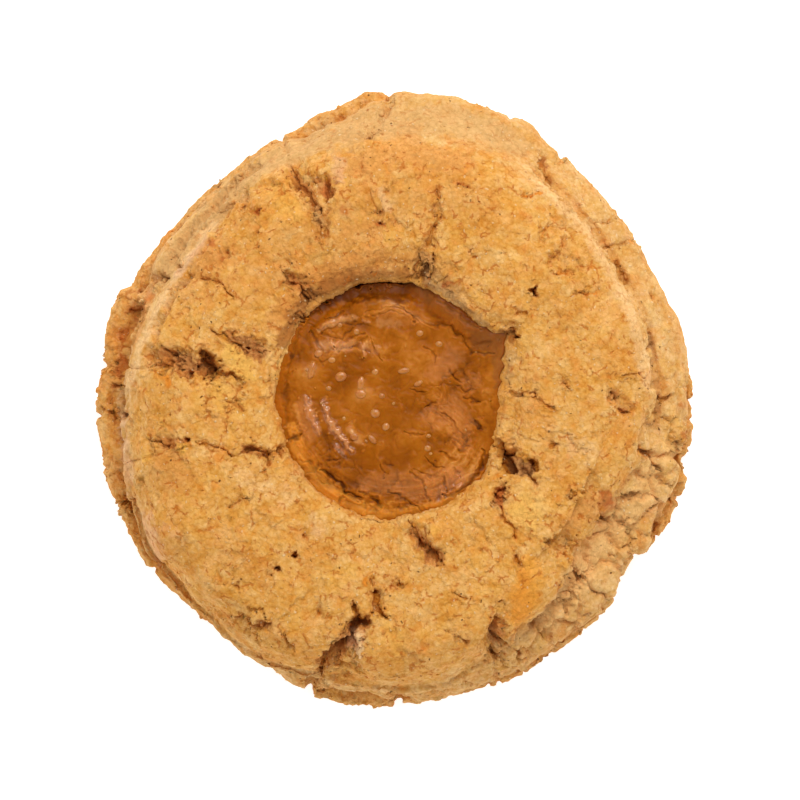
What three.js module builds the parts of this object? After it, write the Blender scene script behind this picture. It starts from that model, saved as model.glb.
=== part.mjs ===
// A thick round speculoos cookie with a pool of set speculoos spread in its middle.
//
// The baked dough is one solid. From the plate up it has a thin browned foot, a crumbly side wall that
// ends in a ledge, a groove, and a crown whose rounded shoulder turns into a low ring round the well.
// Fissures from the oven cut into the crown. The spread is a second solid that lies in the well, its
// skin a little below the ring.
//
// Millimetres and degrees, +Z up. The origin is the middle of the bounding box at the resting face, and
// angles run anticlockwise from +X, seen from above.
import * as THREE from "three";

// Driving dimensions
const OUTLINE_RADIUS = 44.2; // mean radius of the whole cookie, seen from above
const CROWN_RADIUS = 39.4; // mean radius of the crown's side
const CREST_RADIUS = 27.5; // where the ring round the well is highest
const WELL_RADIUS = 17.4; // mean radius of the well at the spread's edge
const FOOT_TOP = 2.4;
const LEDGE_TOP = 10.0;
const CREST_HEIGHT = 22.4;
const WELL_FLOOR = 12.4;
const SPREAD_EDGE_HEIGHT = 19.4; // the spread climbs a little where it meets the wall
const SPREAD_MIDDLE_HEIGHT = 18.8;
const CONTACT_GAP = 0.3; // clearance between the spread and the well

const DOUGH_STEPS = 144; // steps round the cookie
const SPREAD_STEPS = 72;

// A swell adds `by` mm, all of it at the angle `at` and none of it `half` degrees away.
const OUTLINE_SWELLS = [
  { at: 30, half: 26, by: -1.1 },
  { at: 82, half: 34, by: 2.4 },
  { at: 134, half: 28, by: -1.9 },
  { at: 186, half: 34, by: 0.9 },
  { at: 229, half: 10, by: -0.7 },
  { at: 262, half: 26, by: 2.3 },
  { at: 294, half: 24, by: 1.5 },
  { at: 325, half: 8, by: -1.9 },
  { at: 346, half: 26, by: 0.9 },
];
const OUTLINE_NOTCHES = [
  { at: 56, half: 4, by: -0.6 },
  { at: 91.5, half: 3, by: -2.2 },
  { at: 113.5, half: 3, by: -1.0 },
  { at: 155, half: 5, by: -0.9 },
  { at: 253.5, half: 3, by: -3.0 },
  { at: 271, half: 3, by: -1.8 },
];
// How far the foot runs out past the side wall, and where the side wall hangs over the foot instead.
const FOOT_OVERLAP = 0.5;
const FOOT_OVERLAP_SWELLS = [
  { at: 24, half: 36, by: -1.1 },
  { at: 75, half: 16, by: -1.0 },
  { at: 103, half: 14, by: 2.4 },
  { at: 181, half: 30, by: 3.0 },
  { at: 220, half: 16, by: 0.8 },
  { at: 241, half: 10, by: -1.0 },
  { at: 262, half: 11, by: 2.0 },
  { at: 300, half: 18, by: 0.6 },
  { at: 346, half: 20, by: 1.2 },
];
const CROWN_SWELLS = [
  { at: 50, half: 24, by: 0.5 },
  { at: 92, half: 26, by: 1.2 },
  { at: 152, half: 34, by: -1.6 },
  { at: 240, half: 48, by: 4.0 },
  { at: 332, half: 26, by: -3.0 },
];
const CREST_SWELLS = [
  { at: 52, half: 46, by: 0.6 },
  { at: 132, half: 26, by: -0.8 },
  { at: 215, half: 50, by: 0.5 },
  { at: 262, half: 22, by: -0.5 },
  { at: 331, half: 24, by: -0.8 },
];
const WELL_SWELLS = [
  { at: 31, half: 14, by: 2.4 },
  { at: 108, half: 44, by: 0.9 },
  { at: 210, half: 20, by: -0.5 },
  { at: 235, half: 20, by: 0.5 },
  { at: 352, half: 32, by: -1.6 },
];

// A fissure is a valley in the crown between two places, each an angle and a radius.
const FISSURES = [
  { from: [170, 36.5], to: [168, 29], half: 2.4, deep: 4.2 },
  { from: [166, 29], to: [160, 23], half: 1.8, deep: 1.8 },
  { from: [190, 37.5], to: [196, 25], half: 1.7, deep: 1.6 },
  { from: [108, 37.5], to: [113, 29], half: 2.2, deep: 2.2 },
  { from: [133, 25], to: [132, 19], half: 1.7, deep: 1.6 },
  { from: [78, 32], to: [79, 23], half: 1.6, deep: 1.3 },
  { from: [254, 42], to: [259, 32.5], half: 2.4, deep: 4.4 },
  { from: [264, 33], to: [267, 28.5], half: 1.7, deep: 1.8 },
  { from: [284, 25], to: [276, 19], half: 1.8, deep: 1.8 },
  { from: [330, 19], to: [335, 23], half: 2.2, deep: 3.2 },
  { from: [318, 30], to: [318, 32], half: 2.6, deep: 1.2 },
];

function swell(angle, { at, half, by }) {
  const away = Math.abs(((angle - at + 540) % 360) - 180);
  return away < half ? by * (0.5 + 0.5 * Math.cos((Math.PI * away) / half)) : 0;
}

function swelled(value, swells, angle) {
  return swells.reduce((sum, one) => sum + swell(angle, one), value);
}

const outlineAt = (angle) => swelled(OUTLINE_RADIUS, [...OUTLINE_SWELLS, ...OUTLINE_NOTCHES], angle);
const overlapAt = (angle) => swelled(FOOT_OVERLAP, FOOT_OVERLAP_SWELLS, angle);
const footAt = (angle) => outlineAt(angle) + Math.min(0, overlapAt(angle));
const ledgeAt = (angle) => outlineAt(angle) - Math.max(0, overlapAt(angle));
const crownAt = (angle) => Math.min(swelled(CROWN_RADIUS, CROWN_SWELLS, angle), ledgeAt(angle) - 0.4);
const wellAt = (angle) => swelled(WELL_RADIUS, WELL_SWELLS, angle);

function polar([angle, radius]) {
  const turn = THREE.MathUtils.degToRad(angle);
  return new THREE.Vector3(radius * Math.cos(turn), radius * Math.sin(turn), 0);
}

// How deep the fissures are at a place in plan.
const fissureLines = FISSURES.map(({ from, to }) => new THREE.Line3(polar(from), polar(to)));
function fissureDepth(angle, radius) {
  const place = polar([angle, radius]);
  const nearest = new THREE.Vector3();
  const depths = FISSURES.map(({ half, deep }, i) => {
    fissureLines[i].closestPointToPoint(place, true, nearest);
    const away = nearest.distanceTo(place) / half;
    return deep * Math.max(0, 1 - away * away);
  });
  return Math.max(...depths);
}

// A body turned from stations that run from one pole of the axis to the other. Each station gives its
// radius and height at an angle.
function turned(stations, steps) {
  const profile = stations.map(({ radius, height }) => new THREE.Vector2(radius(0), height(0)));
  const geometry = new THREE.LatheGeometry(profile, steps);
  const position = geometry.getAttribute("position");
  for (let i = 0; i < position.count; i++) {
    const step = Math.floor(i / stations.length) % steps;
    const angle = (360 * step) / steps;
    const { radius, height } = stations[i % stations.length];
    const place = polar([angle, radius(angle)]);
    position.setXYZ(i, place.x, place.y, height(angle));
  }
  geometry.computeVertexNormals();
  return geometry;
}

const pole = () => 0;
const level = (height) => () => height;

// A station of the side, between two heights.
function side(low, high, share, radius) {
  return { radius, height: level(low + (high - low) * share) };
}

// A station of the crown, some way up from the ledge to the crest, cut by the fissures.
function crown(share, radius) {
  const height = (angle) => {
    const crest = swelled(CREST_HEIGHT, CREST_SWELLS, angle);
    return LEDGE_TOP + (crest - LEDGE_TOP) * share - fissureDepth(angle, radius(angle)) * share;
  };
  return { radius, height };
}

const mix = (a, b, share) => (angle) => a(angle) * (1 - share) + b(angle) * share;
const inset = (radiusAt, by) => (angle) => radiusAt(angle) - by;

function doughStations() {
  const shoulder = (share) => mix(inset(crownAt, 3), () => CREST_RADIUS, share);
  const ring = (share) => mix(() => CREST_RADIUS, inset(wellAt, -1.6), share);
  return [
    { radius: pole, height: level(0) },
    { radius: inset(footAt, 1.6), height: level(0) },
    side(0, FOOT_TOP, 0.2, inset(footAt, 0.2)),
    side(0, FOOT_TOP, 0.55, footAt),
    side(0, FOOT_TOP, 0.9, inset(footAt, 0.5)),
    side(FOOT_TOP, LEDGE_TOP, 0.12, inset(ledgeAt, 0.2)),
    side(FOOT_TOP, LEDGE_TOP, 0.4, ledgeAt),
    side(FOOT_TOP, LEDGE_TOP, 0.7, inset(ledgeAt, 0.2)),
    side(FOOT_TOP, LEDGE_TOP, 1, mix(ledgeAt, crownAt, 0.35)),
    crown(0.08, mix(ledgeAt, crownAt, 0.9)),
    crown(0.2, crownAt),
    crown(0.42, inset(crownAt, 0.2)),
    crown(0.62, inset(crownAt, 0.9)),
    crown(0.79, inset(crownAt, 2.2)),
    crown(0.88, shoulder(0.1)),
    crown(0.95, shoulder(0.38)),
    crown(0.985, shoulder(0.68)),
    crown(1, shoulder(1)),
    crown(0.99, ring(0.3)),
    crown(0.97, ring(0.6)),
    crown(0.93, ring(0.85)),
    crown(0.88, ring(1)),
    crown(0.76, inset(wellAt, -0.4)),
    side(WELL_FLOOR, SPREAD_EDGE_HEIGHT, 0.7, wellAt),
    side(WELL_FLOOR, SPREAD_EDGE_HEIGHT, 0.25, inset(wellAt, 0.8)),
    { radius: inset(wellAt, 2.4), height: level(WELL_FLOOR) },
    { radius: pole, height: level(WELL_FLOOR) },
  ];
}

function spreadStations() {
  const floor = WELL_FLOOR + CONTACT_GAP;
  const edgeAt = inset(wellAt, CONTACT_GAP);
  const skin = (share) => SPREAD_MIDDLE_HEIGHT + (SPREAD_EDGE_HEIGHT - SPREAD_MIDDLE_HEIGHT) * share;
  return [
    { radius: pole, height: level(floor) },
    { radius: inset(edgeAt, 2.6), height: level(floor) },
    side(WELL_FLOOR, SPREAD_EDGE_HEIGHT, 0.28, inset(edgeAt, 0.9)),
    side(WELL_FLOOR, SPREAD_EDGE_HEIGHT, 0.7, inset(edgeAt, 0.1)),
    side(WELL_FLOOR, SPREAD_EDGE_HEIGHT, 0.9, edgeAt),
    { radius: inset(edgeAt, 0.7), height: level(skin(1)) },
    { radius: inset(edgeAt, 3.6), height: level(skin(0.6)) },
    { radius: mix(pole, edgeAt, 0.45), height: level(skin(0.1)) },
    { radius: pole, height: level(skin(0)) },
  ];
}

function piece(name, geometry, material) {
  const mesh = new THREE.Mesh(geometry, material);
  mesh.name = name;
  return mesh;
}

const bakedDough = new THREE.MeshStandardMaterial({ color: 0xdb9c4f, roughness: 0.85, metalness: 0 });
const setSpread = new THREE.MeshStandardMaterial({ color: 0xa75f20, roughness: 0.35, metalness: 0 });

const dough = piece("dough", turned(doughStations(), DOUGH_STEPS), bakedDough);
const filling = piece("filling", turned(spreadStations(), SPREAD_STEPS), setSpread);

// The outline is uneven, so both pieces shift together until the origin is the middle of the box.
const middle = new THREE.Box3().setFromObject(dough).getCenter(new THREE.Vector3());
const cookie = new THREE.Group();
cookie.add(dough, filling);
cookie.position.set(-middle.x, -middle.y, 0);

export default cookie;
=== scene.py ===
import math
from functools import partial
from types import SimpleNamespace
import bpy
import numpy as np
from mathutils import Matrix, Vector


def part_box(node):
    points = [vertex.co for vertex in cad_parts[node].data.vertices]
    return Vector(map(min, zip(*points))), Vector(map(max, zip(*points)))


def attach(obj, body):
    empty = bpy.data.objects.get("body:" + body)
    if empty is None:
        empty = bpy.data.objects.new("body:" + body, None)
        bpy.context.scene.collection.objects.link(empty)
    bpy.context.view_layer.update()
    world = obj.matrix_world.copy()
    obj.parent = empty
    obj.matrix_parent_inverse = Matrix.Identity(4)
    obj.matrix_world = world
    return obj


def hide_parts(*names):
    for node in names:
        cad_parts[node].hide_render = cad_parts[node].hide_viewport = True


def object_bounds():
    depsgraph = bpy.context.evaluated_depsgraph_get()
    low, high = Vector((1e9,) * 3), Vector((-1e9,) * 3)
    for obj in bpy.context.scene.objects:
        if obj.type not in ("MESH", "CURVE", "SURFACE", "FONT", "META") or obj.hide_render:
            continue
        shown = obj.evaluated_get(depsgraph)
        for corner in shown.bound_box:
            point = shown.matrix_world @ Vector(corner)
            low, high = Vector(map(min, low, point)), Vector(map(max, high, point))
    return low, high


# A thick speculoos cookie: baked dough with a cracked crust, and speculoos spread set in its well.
# Sizes in the dictionaries are mm, and angles are degrees anticlockwise from +X. The meshes are in metres.
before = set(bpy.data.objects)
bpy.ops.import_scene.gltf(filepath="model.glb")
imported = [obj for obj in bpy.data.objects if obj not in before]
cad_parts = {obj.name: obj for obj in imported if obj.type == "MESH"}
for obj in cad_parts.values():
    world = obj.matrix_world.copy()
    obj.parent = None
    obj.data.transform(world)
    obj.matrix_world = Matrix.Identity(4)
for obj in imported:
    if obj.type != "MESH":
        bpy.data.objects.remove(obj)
cadLow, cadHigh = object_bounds()
mm = 0.001


def ring(stops):
    # a value that runs smoothly round the cookie through (degrees, value) stops
    angles, values = np.array(stops, float).T
    angles = np.concatenate([angles[-1:] - 360, angles, angles[:1] + 360])
    values = np.concatenate([values[-1:], values, values[:1]])

    def at(degrees):
        degrees = np.mod(degrees, 360)
        i = np.clip(np.searchsorted(angles, degrees, side="right") - 1, 0, len(angles) - 2)
        t = (degrees - angles[i]) / (angles[i + 1] - angles[i])
        t = t * t * (3 - 2 * t)
        return values[i] * (1 - t) + values[i + 1] * t

    return at


def smooth(low, high, value):
    # 0 up to low and 1 from high on, or the other way round
    t = np.clip((value - low) / (high - low), 0, 1)
    return t * t * (3 - 2 * t)


def hashed(cells, seed):
    # a repeatable number from 0 to 1 for each whole-number cell, stirred with large odd factors
    h = cells[..., 0] * 73856093 ^ cells[..., 1] * 19349663 ^ cells[..., 2] * 83492791 ^ seed * 2654435
    h = (h ^ (h >> 13)) * 1274126177 & 0x7FFFFFFF
    h = (h ^ (h >> 16)) * 2246822519 & 0x7FFFFFFF
    return (h & 0xFFFFFF) / float(0xFFFFFF)


def softNoise(points, size, seed):
    # smooth noise from about -1 to 1, with bumps about `size` mm across
    scaled = points / size + 100.5
    cell = np.floor(scaled).astype(np.int64)
    f = scaled - cell
    u = f * f * f * (f * (f * 6 - 15) + 10)
    total = 0
    for dx, dy, dz in np.ndindex(2, 2, 2):
        corner = cell + np.array([dx, dy, dz])
        gx, gy, gz = (hashed(corner, seed + more) * 2 - 1 for more in (0, 7, 13))
        dot = gx * (f[..., 0] - dx) + gy * (f[..., 1] - dy) + gz * (f[..., 2] - dz)
        weight = np.abs(1 - dx - u[..., 0]) * np.abs(1 - dy - u[..., 1]) * np.abs(1 - dz - u[..., 2])
        total = total + dot * weight
    return total * 1.9 # gradients alone stay within about half


def layers(points, size, count, seed, keep=0.5):
    # noise in finer and finer layers
    total, weight = 0, 1.0
    for layer in range(count):
        total = total + weight * softNoise(points, size, seed + 31 * layer)
        size, weight = size * 0.5, weight * keep
    return total


def chunks(points, size, seed):
    # broken ground: mm to the nearest joint, each chunk's own number, and the mm that its lean lifts
    scaled = points / size + 50.5
    cell = np.floor(scaled).astype(np.int64)
    near, second = np.full((2, len(points)), 9.0)
    spot, reach = np.zeros((2, len(points), 3))
    for step in np.ndindex(3, 3, 3):
        around = cell + np.array(step) - 1
        own = np.stack([hashed(around, seed + more) for more in (0, 3, 5)], -1)
        offset = scaled - (around + 0.1 + 0.8 * own)
        away = np.linalg.norm(offset, axis=-1)
        closer = away < near
        second = np.where(closer, near, np.minimum(second, away))
        spot = np.where(closer[:, None], own, spot)
        reach = np.where(closer[:, None], offset, reach)
        near = np.minimum(near, away)
    return (second - near) * size * 0.5, spot[:, 0], np.sum(reach * (spot - 0.5), -1) * size


def polar(angle, radius):
    turn = math.radians(angle)
    return radius * math.cos(turn), radius * math.sin(turn)


def onPlan(route):
    # (degrees, radius, width) points as (x, y, width)
    return [polar(angle, radius) + (width,) for angle, radius, width in route]


def nearStroke(xy, route):
    # the places by a stroke through (x, y, width) points, and how far off its line they lie, in half widths
    route = np.array(route, float)
    spots, halves = route[:, :2], route[:, 2] * 0.5
    margin = halves.max() * 2.6 + 0.8
    inside = np.flatnonzero(np.all((xy > spots.min(0) - margin) & (xy < spots.max(0) + margin), axis=1))
    local = xy[inside]
    ratio = np.full(len(inside), 99.0)
    if len(route) == 1:
        ratio = np.linalg.norm(local - spots[0], axis=1) / halves[0]
    for a, b, halfA, halfB in zip(spots, spots[1:], halves, halves[1:]):
        t = np.clip(((local - a) @ (b - a)) / max((b - a) @ (b - a), 1e-9), 0, 1)
        away = np.linalg.norm(local - (a + t[:, None] * (b - a)), axis=1)
        ratio = np.minimum(ratio, away / (halfA * (1 - t) + halfB * t))
    return inside, ratio, halves.max()


def atLeast(values, inside, amount):
    values[inside] = np.maximum(values[inside], amount)


def painted(xy, spots, palette, ragged, shown):
    # the colour of the stains at each place, and how much of it lies over the ground
    tint, share = np.zeros((len(xy), 3)), np.zeros(len(xy))
    for name, most, route in spots:
        inside, ratio = nearStroke(xy, route)[:2]
        add = most * smooth(1.35, 0.55, ratio + ragged[inside]) * shown[inside]
        whole = add + share[inside] * (1 - add)
        colour = np.array(linear(palette[name])[:3])
        tint[inside] += (colour - tint[inside]) * (add / np.maximum(whole, 1e-6))[:, None]
        share[inside] = whole
    return tint, share


def splineRows(bends, rows):
    # a smooth run through the bends for every column at once
    runs = np.array(bends).transpose(1, 0, 2)
    made = []
    for i, count in enumerate(rows):
        before, after = max(i - 1, 0), min(i + 2, len(bends) - 1)
        for step in range(count):
            t = step / count
            row = []
            for values in runs:
                # limited slopes, so that a sharp bend doesn't swing past its neighbours
                gap = values[i + 1] - values[i]
                most = 2 * np.abs(gap)
                slopeIn = np.clip((values[i + 1] - values[before]) * 0.5, -most, most)
                slopeOut = np.clip((values[after] - values[i]) * 0.5, -most, most)
                eased = values[i] + gap * (3 * t ** 2 - 2 * t ** 3)
                row.append(eased + slopeIn * (t ** 3 - 2 * t ** 2 + t) + slopeOut * (t ** 3 - t ** 2))
            made.append(row)
    made.append(runs[:, -1])
    return np.array(made)


def turned(profile, angle):
    # the grid of points that a profile gives when it is turned round the cookie's axis
    turn = np.radians(angle)
    return np.stack([profile[:, 0] * np.cos(turn), profile[:, 0] * np.sin(turn), profile[:, 1]], -1)


def gridNormals(grid):
    across = np.roll(grid, -1, axis=1) - np.roll(grid, 1, axis=1)
    along = np.gradient(grid, axis=0)
    normal = np.cross(across, along)
    return normal / np.maximum(np.linalg.norm(normal, axis=-1, keepdims=True), 1e-9)


def closedMesh(name, grid):
    # rows of rings from a lower pole to an upper pole, with one point at each pole
    rows, columns = grid.shape[:2]
    points = np.concatenate([grid[:1].mean(1), grid[1:-1].reshape(-1, 3), grid[-1:].mean(1)])
    ringStart = 1 + np.arange(rows - 2)[:, None] * columns
    here = np.arange(columns)
    after = (here + 1) % columns
    lower, upper = ringStart[:-1], ringStart[1:]
    quads = np.stack([lower + here, lower + after, upper + after, upper + here], -1).reshape(-1, 4)
    bottom = np.stack([np.zeros(columns, int), 1 + after, 1 + here], -1)
    top = np.stack([np.full(columns, len(points) - 1), ringStart[-1] + here, ringStart[-1] + after], -1)
    loops = np.concatenate([quads.ravel(), bottom.ravel(), top.ravel()])
    counts = np.concatenate([np.full(len(quads), 4), np.full(2 * columns, 3)])
    mesh = bpy.data.meshes.new(name)
    mesh.vertices.add(len(points))
    mesh.vertices.foreach_set("co", (points * mm).astype(np.float32).ravel())
    mesh.loops.add(len(loops))
    mesh.loops.foreach_set("vertex_index", loops.astype(np.int32))
    mesh.polygons.add(len(counts))
    starts = np.concatenate([[0], np.cumsum(counts)[:-1]])
    mesh.polygons.foreach_set("loop_start", starts.astype(np.int32))
    mesh.update(calc_edges=True)
    mesh.validate()
    return placed(name, mesh)


def placed(name, mesh):
    piece = bpy.data.objects.new(name, mesh)
    bpy.context.scene.collection.objects.link(piece)
    mesh.shade_smooth()
    return piece


def putOnPoints(mesh, kind, marks):
    # named numbers, vectors or colours for the points of a mesh
    field = {"FLOAT": "value", "FLOAT_VECTOR": "vector", "FLOAT_COLOR": "color"}[kind]
    for name, values in marks.items():
        values = np.array(values, np.float32).ravel()
        mesh.attributes.new(name, kind, "POINT").data.foreach_set(field, values)


def onceAtPoles(values, columns):
    # values for a grid of points as closedMesh keeps them, with one for each pole
    return np.concatenate([values[:1], values[columns:1 - columns]])


def pointsOf(piece):
    points = np.zeros(len(piece.data.vertices) * 3, np.float32)
    piece.data.vertices.foreach_get("co", points)
    return points.reshape(-1, 3)


def movePoints(piece, points):
    piece.data.vertices.foreach_set("co", points.astype(np.float32).ravel())
    piece.data.update()


def finished(piece, modifier):
    # the modifier's result as a plain mesh
    mesh = bpy.data.meshes.new_from_object(piece.evaluated_get(bpy.context.evaluated_depsgraph_get()))
    piece.modifiers.remove(modifier)
    piece.data = mesh
    mesh.shade_smooth()
    print(piece.name, "has", sum(len(p.vertices) - 2 for p in mesh.polygons), "triangles")
    return piece


def thinned(piece, triangles):
    # fewer faces where the surface is flat
    made = sum(len(p.vertices) - 2 for p in piece.data.polygons)
    modifier = piece.modifiers.new("thinned", "DECIMATE")
    modifier.ratio = triangles / made
    return finished(piece, modifier)


def linear(code):
    # sRGB hex to linear colour
    parts = [int(code[i:i + 2], 16) / 255 for i in (1, 3, 5)]
    return [c / 12.92 if c <= 0.04045 else ((c + 0.055) / 1.055) ** 2.4 for c in parts] + [1]


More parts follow.
